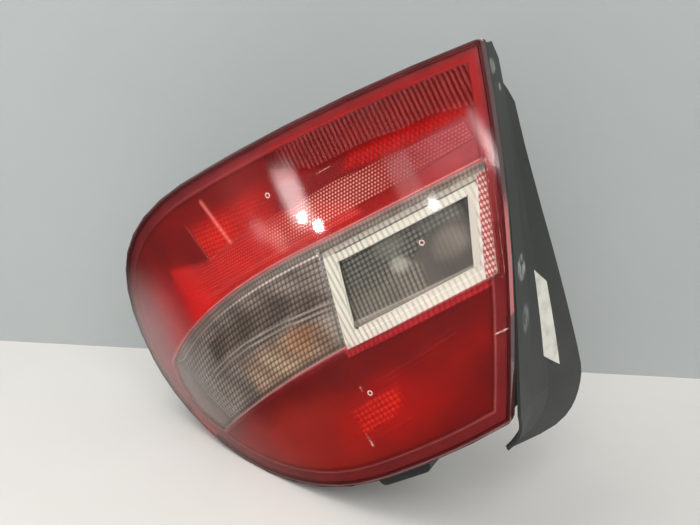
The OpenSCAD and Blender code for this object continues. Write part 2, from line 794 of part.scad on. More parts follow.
module bulb_cap(at) {
    along_y(at, bulb_base_y) rotate([180, 0, 0]) {
        translate([0, 0, 1.2]) cylinder(r = cap_r, h = cap_len - 1.2, $fn = round_fn);
        cylinder(r = 3, h = 1.5, $fn = round_fn);
    }
}

module stop_bulb_glass() color([0.9, 0.92, 0.92, 0.6]) bulb_glass(stop_at);
module indicator_bulb_glass() color([0.95, 0.55, 0.1, 0.7]) bulb_glass(indicator_at);
module reversing_bulb_glass() color([0.9, 0.92, 0.92, 0.6]) bulb_glass(reversing_at);
module fog_bulb_glass() color([0.9, 0.92, 0.92, 0.6]) bulb_glass(fog_at);
module stop_bulb_cap() color([0.76, 0.74, 0.68]) bulb_cap(stop_at);
module indicator_bulb_cap() color([0.76, 0.74, 0.68]) bulb_cap(indicator_at);
module reversing_bulb_cap() color([0.76, 0.74, 0.68]) bulb_cap(reversing_at);
module fog_bulb_cap() color([0.76, 0.74, 0.68]) bulb_cap(fog_at);

red_lens();
clear_lens();
reflex_reflector();
lens_seal();
housing();
gutter_cover();
label();
reflector();
bulb_holder();
holder_seal();
contact_tracks();
body_gasket();
breather_cap();
mounting_studs();
stop_bulb_glass();
stop_bulb_cap();
indicator_bulb_glass();
indicator_bulb_cap();
reversing_bulb_glass();
reversing_bulb_cap();
fog_bulb_glass();
fog_bulb_cap();
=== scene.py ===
import bpy
import math
import numpy as np
from mathutils import Matrix, Vector


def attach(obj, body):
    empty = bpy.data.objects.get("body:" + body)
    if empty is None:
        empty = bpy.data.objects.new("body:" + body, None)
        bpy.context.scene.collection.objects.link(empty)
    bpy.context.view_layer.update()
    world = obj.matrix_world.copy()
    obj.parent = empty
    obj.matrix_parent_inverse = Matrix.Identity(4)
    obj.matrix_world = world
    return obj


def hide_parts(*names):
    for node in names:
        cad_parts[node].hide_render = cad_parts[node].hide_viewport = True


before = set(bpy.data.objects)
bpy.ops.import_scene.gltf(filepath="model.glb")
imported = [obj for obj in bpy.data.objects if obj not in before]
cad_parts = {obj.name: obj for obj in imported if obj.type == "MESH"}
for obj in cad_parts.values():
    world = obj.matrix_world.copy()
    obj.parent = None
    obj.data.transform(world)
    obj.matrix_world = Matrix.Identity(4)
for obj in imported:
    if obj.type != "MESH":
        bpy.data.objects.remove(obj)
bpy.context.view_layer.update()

mm = 0.001
print("frame loaded")

# The camera stands where the photograph was taken from
photoView = {"azimuth": 27, "elevation": 2, "roll": 28, "distance": 0.780, "fieldOfView": 33,
             "target": (0.025, -0.062, -0.010)}


def aimCamera(view):
    az, el, roll = (math.radians(view[k]) for k in ("azimuth", "elevation", "roll"))
    back = Vector((math.sin(az) * math.cos(el), -math.cos(az) * math.cos(el), math.sin(el)))
    level = (-back).cross(Vector((0, 0, 1))).normalized()
    upright = level.cross(-back)
    right = math.cos(roll) * level - math.sin(roll) * upright
    up = math.sin(roll) * level + math.cos(roll) * upright
    data = bpy.data.cameras.new("photoCamera")
    data.sensor_width = 36
    data.lens = 18 / math.tan(math.radians(view["fieldOfView"]) / 2)
    data.clip_start, data.clip_end = 0.01, 30
    camera = bpy.data.objects.new("photoCamera", data)
    turn = Matrix((right, up, back)).transposed().to_4x4()
    camera.matrix_world = Matrix.Translation(Vector(view["target"]) + back * view["distance"]) @ turn
    bpy.context.collection.objects.link(camera)
    bpy.context.scene.camera = camera
    return right, up, back


camRight, camUp, camBack = aimCamera(photoView)
bpy.context.scene.view_settings.view_transform = "Standard"


# A colour as it is seen on a screen, from 0 to 255, made linear
def seen(r, g, b):
    return tuple(float(c / 12.92 if c <= 0.04045 else ((c + 0.055) / 1.055) ** 2.4)
                 for c in (r / 255, g / 255, b / 255))


# Shader maths: a socket that can be added, multiplied and compared
class Sock:
    def __init__(self, finish, socket):
        self.finish, self.socket = finish, socket

    def maths(self, operation, first, second=None):
        inputs = {0: first} if second is None else {0: first, 1: second}
        return self.finish.node("ShaderNodeMath", {"operation": operation}, inputs)

    def __add__(self, other):
        return self.maths("ADD", self, other)

    def __radd__(self, other):
        return self.maths("ADD", other, self)

    def __sub__(self, other):
        return self.maths("SUBTRACT", self, other)

    def __rsub__(self, other):
        return self.maths("SUBTRACT", other, self)

    def __mul__(self, other):
        return self.maths("MULTIPLY", self, other)

    def __rmul__(self, other):
        return self.maths("MULTIPLY", other, self)

    def __truediv__(self, other):
        return self.maths("DIVIDE", self, other)

    def __abs__(self):
        return self.maths("ABSOLUTE", self)

    def root(self):
        return self.maths("SQRT", self)

    def sine(self):
        return self.maths("SINE", self)

    def atLeast(self, other):
        return self.maths("MAXIMUM", self, other)

    def atMost(self, other):
        return self.maths("MINIMUM", self, other)

    def smooth(self, low, high):
        return self.finish.node("ShaderNodeMapRange", {"interpolation_type": "SMOOTHSTEP"},
                                {"Value": self, "From Min": low, "From Max": high})


class Finish:
    def __init__(self, name, tree=None):
        self.coords = None
        if tree is None:
            self.material = bpy.data.materials.new(name)
            self.material.use_nodes = True
            tree = self.material.node_tree
        self.tree = tree
        self.tree.nodes.clear()

    # Any node: its settings first, then the values or links of its sockets
    def node(self, kind, settings=None, inputs=None, output=0):
        made = self.tree.nodes.new(kind)
        for key, value in (settings or {}).items():
            setattr(made, key, value)
        for key, value in (inputs or {}).items():
            socket = made.inputs[key]
            if isinstance(value, Sock):
                self.tree.links.new(value.socket, socket)
            elif socket.type == "RGBA":
                socket.default_value = (*value, 1)
            else:
                socket.default_value = value
        return Sock(self, made.outputs[output])

    def place(self):
        if self.coords is None:
            self.coords = self.node("ShaderNodeTexCoord", output="Object")
            self.axes = self.node("ShaderNodeSeparateXYZ", None, {0: self.coords}).socket.node.outputs
        return [Sock(self, axis) for axis in self.axes]

    def noise(self, scale, detail=3, rough=0.5, stretch=None):
        self.place()
        where = self.coords
        if stretch:
            where = self.node("ShaderNodeMapping", None, {"Vector": self.coords, "Scale": stretch})
        return self.node("ShaderNodeTexNoise", None,
                         {"Vector": where, "Scale": scale, "Detail": detail, "Roughness": rough})

    # A mix of two colours, whose sockets share their names with those for numbers and vectors
    def mix(self, factor, first, second):
        return self.node("ShaderNodeMix", {"data_type": "RGBA"}, {0: factor, 6: first, 7: second}, 2)

    def bump(self, height, strength, distance):
        return self.node("ShaderNodeBump", None,
                         {"Height": height, "Strength": strength, "Distance": distance})

    # A soft spot, given by its middle and half sizes in millimetres
    def spot(self, centre, half):
        away = 0.0
        for axis, middle, reach in zip(self.place(), centre, half):
            step = (axis - middle * mm) / (reach * mm)
            away = step * step + away
        return 1.0 - away.smooth(0.35, 1.0)

    def shader(self, **sockets):
        return self.node("ShaderNodeBsdfPrincipled", None,
                         {key.replace("_", " "): value for key, value in sockets.items()})

    def blend(self, factor, first, second):
        return self.node("ShaderNodeMixShader", None, {0: factor, 1: first, 2: second})

    def close(self, shader):
        out = self.tree.nodes.new("ShaderNodeOutputMaterial")
        self.tree.links.new(shader.socket, out.inputs["Surface"])
        return self.material


# A node of the part gets a material of its own
def dress(name, material):
    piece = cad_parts[name]
    piece.data.materials.clear()
    piece.data.materials.append(material)


# The face of the lens, its outline, its clear band and its window, in the part's own millimetres
lensFace = {"planRadius": 450, "sideRadius": 1000, "depth": 92, "crownX": 70, "crownZ": -30}
lensOutline = {"corner": (177, 74), "shoulder": (-60, 91), "tip": (-201, -10), "heel": (-25, -150),
               "lean": 23.3, "bow": 9, "footZ": -144, "topShift": 12, "topZ": 89, "shoulderReach": 90,
               "tipRise": 70, "tipFall": 52, "heelReach": 107}
clearBand = {"edgeTop": 10, "height": 66, "margin": 8, "footMargin": 5.5,
             "topBend": [(0, 12), (-100.5, 12), (-169, -18)],
             "tipBend": [(-169, -18), (-186, -52), (-151, -81)],
             "footBend": [(-151, -81), (-75.5, -62), (0, -57)]}
windowFrame = {"reach": 23, "top": 4, "lean": 16.3, "fall": 61.4, "footDrop": 3, "topShift": (-2, -6),
               "footShift": (-2, 1), "bandInset": 9.4, "screenInset": 8.6}


def faceAt(x, z, back=0):
    r = lensFace["sideRadius"] - lensFace["planRadius"]
    r = r + np.sqrt((lensFace["planRadius"] - back) ** 2 - (x - lensFace["crownX"]) ** 2)
    return lensFace["sideRadius"] - lensFace["depth"] - np.sqrt(r ** 2 - (z - lensFace["crownZ"]) ** 2)


def spots(*rows):
    return np.array(rows, float)


def bend(a, h, b, n=10):
    t = np.linspace(0, 1, n, endpoint=False)[:, None]
    return (1 - t) ** 2 * a + 2 * t * (1 - t) * h + t ** 2 * b


def curve(a, g, h, b, n=16):
    t = np.linspace(0, 1, n, endpoint=False)[:, None]
    s = 1 - t
    return s ** 3 * a + 3 * s ** 2 * t * g + 3 * s * t ** 2 * h + t ** 3 * b


# Every corner of an outline moved in by d, square to its two edges
def inset(p, d):
    before, after = np.roll(p, 1, 0), np.roll(p, -1, 0)
    u, v = p - before, after - p
    u = np.stack([-u[:, 1], u[:, 0]], 1) / np.linalg.norm(u, axis=1)[:, None]
    v = np.stack([-v[:, 1], v[:, 0]], 1) / np.linalg.norm(v, axis=1)[:, None]
    return p + d * (u + v) / (1 + (u * v).sum(1))[:, None]


# The part of an outline on the left of the line from a to b
def cutAlong(p, a, b):
    side = (b[0] - a[0]) * (p[:, 1] - a[1]) - (b[1] - a[1]) * (p[:, 0] - a[0])
    kept = []
    for i in range(len(p)):
        j = (i + 1) % len(p)
        if side[i] >= 0:
            kept.append(p[i])
        if side[i] * side[j] < 0:
            kept.append(p[i] + (p[j] - p[i]) * side[i] / (side[i] - side[j]))
    return np.array(kept)


# The outline as a ring of corners, with its foot and the way its inboard edge bows out
def lensEdge(spec):
    top, shoulder, tip, heel = spots(*(spec[k] for k in ("corner", "shoulder", "tip", "heel")))
    lean = math.tan(math.radians(spec["lean"]))
    foot = np.array([top[0] - lean * (top[1] - spec["footZ"]), spec["footZ"]])
    along = (top - foot) / np.linalg.norm(top - foot)
    out = np.array([along[1], -along[0]])
    middle = (foot + top) / 2 + 2 * spec["bow"] * out
    edge = np.concatenate([
        bend(top, np.array([(top[0] + shoulder[0]) / 2 + spec["topShift"], spec["topZ"]]), shoulder),
        curve(shoulder, shoulder - [spec["shoulderReach"], 0], tip + [0, spec["tipRise"]], tip),
        curve(tip, tip - [0, spec["tipFall"]], heel - [spec["heelReach"], 0], heel),
        bend(heel, np.array([foot[0] / 2, heel[1]]), foot),
        bend(foot, middle, top),
    ])
    return edge, foot, out


lensCorners, lensFoot, lensOut = lensEdge(lensOutline)


def edgeX(z):
    top = lensOutline["corner"]
    t = (z - lensOutline["footZ"]) / (top[1] - lensOutline["footZ"])
    return lensFoot[0] + t * (top[0] - lensFoot[0]) + 4 * t * (1 - t) * lensOutline["bow"] * lensOut[0]


# The rows along the top and the foot of the band, and the whole ring of its corners
def bandEdge(spec):
    topZ, footZ = spec["edgeTop"], spec["edgeTop"] - spec["height"]
    topEnd, footEnd = (edgeX(topZ) - spec["margin"], topZ), (edgeX(footZ) - spec["footMargin"], footZ)
    topRow = np.concatenate([spots(topEnd), bend(*spots(*spec["topBend"]))])
    footRow = np.concatenate([bend(*spots(*spec["footBend"])), spots(spec["footBend"][-1], footEnd)])
    return topRow, footRow, np.concatenate([topRow, bend(*spots(*spec["tipBend"])), footRow])


def frameEdge(spec):
    footX = spec["reach"] - math.tan(math.radians(spec["lean"])) * spec["fall"]
    footZ = bandCorners[-1][1] - spec["footDrop"]
    return spots(bandCorners[0] + spec["topShift"], (spec["reach"], spec["top"]), (footX, footZ),
                 bandCorners[-1] + spec["footShift"])


bandTopRow, bandFootRow, bandCorners = bandEdge(clearBand)
frameCorners = frameEdge(windowFrame)


# How far points are from the straight stretch between a and b
def fromStretch(a, b, x, z):
    run = b - a
    t = np.clip(((x - a[0]) * run[0] + (z - a[1]) * run[1]) / max(run @ run, 1e-9), 0, 1)
    return np.hypot(x - a[0] - t * run[0], z - a[1] - t * run[1])


# How far points are inside an outline, with less than nothing outside it
def signedDistance(corners, x, z):
    best = np.full(x.shape, 1e9)
    inside = np.zeros(x.shape, bool)
    for a, b in zip(corners, np.roll(corners, -1, 0)):
        best = np.minimum(best, fromStretch(a, b, x, z))
        if a[1] != b[1]:
            crosses = (z < a[1]) != (z < b[1])
            inside ^= crosses & (x < a[0] + (z - a[1]) / (b[1] - a[1]) * (b[0] - a[0]))
    return np.where(inside, best, -best)


def nearest(corners, p):
    best, found = np.full(len(p), 1e9), p.copy()
    for a, b in zip(corners, np.roll(corners, -1, 0)):
        run = b - a
        t = np.clip((p - a) @ run / max(run @ run, 1e-9), 0, 1)
        q = a + t[:, None] * run
        away = np.linalg.norm(p - q, axis=1)
        closer = away < best
        best[closer], found[closer] = away[closer], q[closer]
    return found


def smooth(low, high, v):
    t = np.clip((v - low) / (high - low), 0, 1)
    return t * t * (3 - 2 * t)


# A soft line where a value is near its middle
def crest(v, middle, width):
    return np.exp(-((v - middle) / width) ** 2)


# The rounded back of one rib in a row of ribs: 1 on its crest and 0 between ribs
def rib(v, pitch):
    return np.sqrt(np.clip(1 - (2 * ((v / pitch) % 1) - 1) ** 2, 0, 1))


# Ribs that cross at a lean to both sides
def diamondNet(x, z, pitch, lean):
    return rib(x + lean * z, pitch) * rib(x - lean * z, pitch)


# A soft pool of painted light, or of painted shade where its tone is darker: its middle, its half sizes,
# its turn in degrees and how soft its edge is
def pool(x, z, centre, half, turn=0, blur=0.5):
    c, s = math.cos(math.radians(turn)), math.sin(math.radians(turn))
    u, v = (x - centre[0]) * c + (z - centre[1]) * s, (z - centre[1]) * c - (x - centre[0]) * s
    return 1 - smooth(1 - blur, 1 + blur, np.hypot(u / half[0], v / half[1]))


# An area: the width of its soft edge, then its corners
def zone(x, z, blur, corners):
    return smooth(-blur / 2, blur / 2, signedDistance(np.array(corners, float), x, z))


# A fine line: its width, then its points
def stroke(x, z, width, row):
    best = np.full(x.shape, 1e9)
    for a, b in zip(np.array(row[:-1], float), np.array(row[1:], float)):
        best = np.minimum(best, fromStretch(a, b, x, z))
    return crest(best, 0, width)


# Dots in rows set off by half a pitch
def honeycomb(x, z, pitch, size):
    rowPitch = pitch * 0.866
    row = np.floor(z / rowPitch)
    u = (x / pitch + 0.5 * (row % 2)) % 1 - 0.5
    v = (z / rowPitch) % 1 - 0.5
    return 1 - smooth(size * 0.4, size, np.hypot(u, v))


# A tone is a colour from 0 to 255, and a fourth number says how strongly it covers
class Paint:
    def __init__(self, x, tone):
        self.colour = np.tile(np.array(seen(*tone)), (len(x), 1))

    def lay(self, mask, tone):
        mask = np.clip(mask * (tone[3] if len(tone) > 3 else 1), 0, 1)[:, None]
        self.colour = self.colour * (1 - mask) + np.array(seen(*tone[:3])) * mask


# The light that an optic's colour loses and gains on its way out through the moulding
wayOut = {"red": (0.72, 0.36, 0.34), "clear": (0.70, 0.69, 0.66), "haze": 0.010}


# A sheet of moulded optics behind the lens: a grid cut to an outline, with its relief and its colour, into
# which the light and shade of the optics are painted
def opticSheet(name, corners, step, back, design, moulding, hole=None):
    low, high = corners.min(0) - step, corners.max(0) + step
    x, z = np.meshgrid(np.arange(low[0], high[0], step), np.arange(low[1], high[1], step), indexing="ij")
    kept = signedDistance(corners, x, z) > 0
    if hole is not None:
        kept &= signedDistance(hole, x, z) < 0
    cell = kept[:-1, :-1] | kept[1:, :-1] | kept[:-1, 1:] | kept[1:, 1:]
    number = np.arange(x.size).reshape(x.shape)
    quads = np.stack([number[:-1, :-1][cell], number[1:, :-1][cell], number[1:, 1:][cell],
                      number[:-1, 1:][cell]], 1)
    used, quads = np.unique(quads, return_inverse=True)
    quads = quads.reshape(-1, 4)
    place = np.stack([x.ravel()[used], z.ravel()[used]], 1)
    outside = ~kept.ravel()[used]
    moved = nearest(corners, place[outside])
    if hole is not None:
        other = nearest(hole, place[outside])
        away = [np.linalg.norm(p - place[outside], axis=1) for p in (moved, other)]
        moved[away[1] < away[0]] = other[away[1] < away[0]]
    place[outside] = moved
    x, z = place[:, 0], place[:, 1]
    relief, colour = design(x, z)
    mesh = bpy.data.meshes.new(name)
    mesh.from_pydata((np.stack([x, faceAt(x, z, back) - relief, z], 1) * mm).tolist(), [], quads.tolist())
    rgba = np.ones((len(x), 4), np.float32)
    rgba[:, :3] = np.clip((colour - wayOut["haze"]) / np.array(wayOut[moulding]), 0.002, 1)
    mesh.attributes.new("paint", "FLOAT_COLOR", "POINT").data.foreach_set("color", rgba.ravel())
    mesh.validate()
    mesh.shade_smooth()
    piece = bpy.data.objects.new(name, mesh)
    bpy.context.collection.objects.link(piece)
    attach(piece, "root")
    moulding + "_acrylic"
    print(name, len(quads), "quads")
    return piece


# What both red optics have along the edge of the lens and beside the band, by the distance from them: the
# border, a painted shade near the edge, a painted highlight on the lip, the bead, and a painted highlight
# along the band
lensRim = {"border": (10.2, 11.4), "shade": (4.5, 3.0), "lip": (1.6, 0.9), "bead": (11.0, 0.8),
           "beadHeight": 0.4, "bandGap": (3.4, 5.0), "bandLine": (0.4, 0.5)}


def rimDistances(x, z):
    toEdge = signedDistance(lensCorners, x, z)
    toBand = -signedDistance(bandCorners, x, z)
    return toEdge, toBand, 1 - smooth(*lensRim["border"], toEdge)


def rimRelief(relief, toEdge, toBand, border):
    relief = relief * (1 - border) * smooth(*lensRim["bandGap"], toBand)
    return relief + lensRim["beadHeight"] * crest(toEdge, *lensRim["bead"])


upperLook = {
    "zones": {
        "flutes": (9, [(16, 86), (16, 70), (45, 55), (89, 53), (111, 49), (132, 48), (145, 46), (159, 41),
                       (180, 42), (180, 86)]),
        "glow": (11, [(28, 52), (45, 57), (89, 54), (132, 49), (149, 44), (149, 39), (112, 37), (66, 36),
                      (30, 38)]),
        "diamonds": (6, [(62, 44), (73, 51), (98, 50), (122, 47), (149, 43), (149, 38), (112, 38),
                         (83, 40)]),
        "pillows": (1.2, [(-71, 86), (16, 86), (9, 40), (-42, 39), (-52, 38), (-67, 34), (-77, 70)]),
        "fine": (7, [(-116, 43), (-74, 35), (-46, 39), (8, 40), (30, 38), (58, 24), (62, 14), (-60, 12),
                     (-100, -9), (-112, 0), (-108, 12), (-113, 27)]),
        "topRibs": (8, [(-70, 88), (-64, 70), (-20, 68), (16, 62), (40, 56), (18, 84)]),
    },
    "pools": {
        "tip": ((-130, 4), (34, 34), 40, 0.7),
        "bright": ((-100, 6), (16, 26), 10, 0.7),
        "right": ((70, 38), (84, 22), -2, 0.7),
        "mauve": ((142, 25), (36, 22), 0, 0.6),
        "flutes": ((104, 56), (60, 9), -6, 0.7),
    },
    "lines": {
        "pillowFoot": (0.5, [(-69, 35), (-52, 38), (-42, 39), (9, 40)]),
        "pillowEnd": (0.7, [(-77, 66), (-69, 36)]),
        "slant": (1.5, [(-52, 73), (-46, 52), (-40, 30)]),
    },
    "ramps": {
        "tip": (-140, -192), "lowHeight": (34, 10), "lowAcross": (-96, -60), "fineGap": (3, 6),
        "dotsLeft": (-125, -60), "dotsRight": (-60, 0), "pillowTop": (70, 52), "pillowRight": (14, -12),
        "pillowShade": (-50, -10), "pillowEnd": (70, 60), "slantFoot": (24, 34), "cornerHeight": (56, 62),
        "cornerAcross": (0, 30), "litLine": (-60, 40), "dashLeft": (-110, -70), "dashRight": (110, 60),
        "behindReflex": (-0.4, 1.0),
    },
    "rimLines": {"lit": (8.6, 2.2), "groove": (12.2, 0.8), "dashes": (9.6, 0.7)},
    "pitch": {"rows": 3.1, "columns": 3.3, "dots": 2.2, "diamonds": 3.3, "dashes": 3.4},
    "lean": {"rows": 0.10, "columns": 0.2, "diamonds": 0.55, "corner": 0.12, "pillows": 0.05},
    "dotSize": 0.46, "dotStrength": (0.35, 0.25), "pillowShade": 0.45, "pillowFlat": 0.3,
    "relief": {"flutes": 0.3, "diamonds": 0.9, "pillows": 0.8, "dots": 0.35, "slant": 0.5,
               "reflexDip": 0.4},
    "tones": {
        "ground": (112, 24, 26), "tipPool": (166, 29, 35, 0.9), "tip": (124, 50, 58),
        "low": (168, 36, 34, 0.7), "fine": (176, 34, 31), "brightPool": (210, 26, 27, 0.75),
        "rightPool": (122, 27, 27, 0.6),
        "glow": (104, 20, 20, 0.75), "mauvePool": (148, 74, 78, 0.8), "bandLine": (232, 140, 138, 0.85),
        "dots": (220, 104, 97), "flutes": (76, 14, 16), "litFlutes": (100, 20, 21, 0.5),
        "litFluteCrests": (116, 26, 26, 0.3), "topRibs": (66, 12, 14, 0.4), "diamonds": (114, 15, 16, 0.8),
        "litDiamondTops": (170, 31, 28), "pillows": (132, 18, 19), "litPillowTops": (200, 43, 36),
        "pillowFoot": (214, 84, 78, 0.5), "pillowEnd": (196, 84, 80, 0.5), "slant": (228, 118, 106, 0.65),
        "border": (120, 42, 45), "corner": (128, 74, 76), "lit": (152, 46, 50, 0.7),
        "groove": (72, 14, 17, 0.5), "dashes": (172, 84, 80, 0.4), "shade": (96, 30, 34, 0.5),
        "lip": (178, 116, 112, 0.9),
    },
}


# The red behind the upper lens, without its dots: one red with painted light and shade, brighter and darker
# pools and zones of painted glow, a painted mauve reflection, a painted pinkish sheen towards the tip and a
# painted highlight along the band
def upperPaint(x, z, toBand):
    zones, pools, ramps, tones = (upperLook[k] for k in ("zones", "pools", "ramps", "tones"))
    paint = Paint(x, tones["ground"])
    # Painted light at the tip: a brighter pool and a pinkish painted sheen
    paint.lay(pool(x, z, *pools["tip"]), tones["tipPool"])
    paint.lay(smooth(*ramps["tip"], x), tones["tip"])
    # Painted glow: the lower zone and the fine-dotted zone are painted brighter
    paint.lay(smooth(*ramps["lowHeight"], z) * smooth(*ramps["lowAcross"], x), tones["low"])
    fine = zone(x, z, *zones["fine"])
    paint.lay(fine, tones["fine"])
    # Pools and a zone of painted light and shade, a painted mauve reflection and a painted highlight along
    # the band
    paint.lay(pool(x, z, *pools["bright"]), tones["brightPool"])
    paint.lay(pool(x, z, *pools["right"]), tones["rightPool"])
    paint.lay(zone(x, z, *zones["glow"]), tones["glow"])
    paint.lay(pool(x, z, *pools["mauve"]), tones["mauvePool"])
    paint.lay(crest(toBand, *lensRim["bandLine"]), tones["bandLine"])
    return paint, fine


def upperDesign(x, z):
    zones, lines, ramps, tones = (upperLook[k] for k in ("zones", "lines", "ramps", "tones"))
    pitch, lean, height, rimLines = (upperLook[k] for k in ("pitch", "lean", "relief", "rimLines"))
    toEdge, toBand, border = rimDistances(x, z)
    rows, columns = rib(z + lean["rows"] * x, pitch["rows"]), rib(x - lean["columns"] * z, pitch["columns"])
    paint, fine = upperPaint(x, z, toBand)
    dots = fine * smooth(*ramps["fineGap"], toBand) * honeycomb(x, z, pitch["dots"], upperLook["dotSize"])
    strength = upperLook["dotStrength"]
    shown = strength[0] * smooth(*ramps["dotsLeft"], x) + strength[1] * smooth(*ramps["dotsRight"], x)
    paint.lay(shown * dots, tones["dots"])
    # The flute zone is painted darker as painted shade, with a painted pool of light and its crests painted
    # lighter as painted highlights
    flutes = zone(x, z, *zones["flutes"]) * (1 - border)
    paint.lay(flutes, tones["flutes"])
    paint.lay(flutes * pool(x, z, *upperLook["pools"]["flutes"]), tones["litFlutes"])
    paint.lay(flutes * columns ** 3, tones["litFluteCrests"])
    # Dark lines between the top rib columns: painted shade of ribs that have no relief
    paint.lay(zone(x, z, *zones["topRibs"]) * (1 - border) * (1 - columns), tones["topRibs"])
    # The diamond net's crests are painted lighter as painted highlights
    diamonds = zone(x, z, *zones["diamonds"])
    net = diamondNet(x, z, pitch["diamonds"], lean["diamonds"])
    paint.lay(diamonds, tones["diamonds"])
    paint.lay(diamonds * net ** 1.5, tones["litDiamondTops"])
    pillows = zone(x, z, *zones["pillows"]) * smooth(*ramps["pillowTop"], z - lean["pillows"] * x)
    pillows = pillows * smooth(*ramps["pillowRight"], x)
    flat = upperLook["pillowFlat"]
    cushions = pillows * rows * (flat + (1 - flat) * columns)
    shaded = upperLook["pillowShade"] * smooth(*ramps["pillowShade"], x)
    paint.lay(pillows, tones["pillows"])
    # The cushion tops are painted lighter as painted highlights, and dimmed as x grows as painted shade
    paint.lay(cushions * (1 - shaded), tones["litPillowTops"])
    paint.lay(stroke(x, z, *lines["pillowFoot"]), tones["pillowFoot"])
    paint.lay(stroke(x, z, *lines["pillowEnd"]) * smooth(*ramps["pillowEnd"], z), tones["pillowEnd"])
    # The slanted bar is painted pale along its length as a painted highlight
    slant = stroke(x, z, *lines["slant"]) * smooth(*ramps["slantFoot"], z)
    paint.lay(slant, tones["slant"])
    # Along the edge: the border, its lines and dashes, and the lip. The lit line outside the bead and the
    # dark groove inside it are painted light and shade; the darker band near the edge is painted shade and
    # the pale lip a painted highlight.
    paint.lay(border, tones["border"])
    corner = smooth(*ramps["cornerHeight"], z + lean["corner"] * x) * smooth(*ramps["cornerAcross"], x)
    paint.lay(border * corner, tones["corner"])
    paint.lay(crest(toEdge, *rimLines["lit"]) * smooth(*ramps["litLine"], x), tones["lit"])
    paint.lay(crest(toEdge, *rimLines["groove"]), tones["groove"])
    dashes = (rib(x, pitch["dashes"]) > 0.5) * crest(toEdge, *rimLines["dashes"])
    paint.lay(dashes * smooth(*ramps["dashLeft"], x) * smooth(*ramps["dashRight"], x), tones["dashes"])
    for part in ("shade", "lip"):
        paint.lay(smooth(*lensRim[part], toEdge), tones[part])
    relief = (height["flutes"] * flutes * columns + height["diamonds"] * diamonds * net
              + height["pillows"] * cushions + height["dots"] * dots + height["slant"] * slant)
    relief = rimRelief(relief, toEdge, toBand, border)
    behindReflex = smooth(*ramps["behindReflex"], signedDistance(reflexCorners, x, z))
    return relief * (1 - behindReflex) - height["reflexDip"] * behindReflex, paint.colour


lowerLook = {
    "zones": {
        "strip": (1.0, [(2, -54), (160, -50), (160, -55), (118, -61.0), (2, -64.5)]),
        "patch": (6, [(-19, -99), (23, -94), (23, -105), (10, -113), (-18, -117)]),
        "right": (22, [(28, -100), (56, -86), (84, -84), (101, -74), (101, -90), (70, -108), (36, -112)]),
        "ropes": (9, [(12, -86), (51, -80), (80, -75), (80, -80), (51, -86), (12, -92)]),
        "tail": (8, [(-24, -115), (10, -118), (24, -113), (24, -120), (8, -124), (-24, -122)]),
    },
    "pools": {
        "left": ((-70, -106), (60, 25), -8, 0.6),
        "middle": ((0, -112), (56, 24), 4, 0.7),
        "patch": ((6, -106), (42, 17), 4, 0.6),
    },
    "ramps": {"rosy": (-140, -60), "notches": (90, 110)},
    "rimLines": {"groove": (12.6, 1.3), "line": (10.8, 0.5), "notches": (10.8, 1.2)},
    "rosy": (1.5, 3.0), "bandEnd": 4,
    "pitch": {"across": 3.9, "up": 3.7, "cords": 3.6, "ribs": 4.0, "notches": 3.8},
    "lean": {"cells": 0.1, "cords": 0.12, "ribs": 0.3},
    "relief": {"cells": 1.0, "cords": 0.3, "ribs": 0.5},
    "tones": {
        "ground": (106, 26, 24), "leftPool": (156, 44, 38, 0.9), "middlePool": (150, 32, 27, 0.75),
        "right": (128, 29, 24, 0.8), "shadedCordGrooves": (84, 16, 16, 0.35), "cords": (166, 40, 32, 0.2),
        "patchPool": (158, 28, 23, 0.8), "patch": (146, 16, 14), "cells": (208, 43, 33),
        "rosy": (156, 34, 44, 0.6), "strip": (160, 22, 31), "ribs": (196, 60, 66, 0.6),
        "border": (112, 38, 39), "groove": (66, 14, 15, 0.6), "line": (168, 96, 92, 0.6),
        "notches": (168, 70, 70, 0.3), "bandLine": (200, 120, 114, 0.8), "shade": (88, 28, 30, 0.5),
        "lip": (160, 108, 104, 0.8),
    },
}


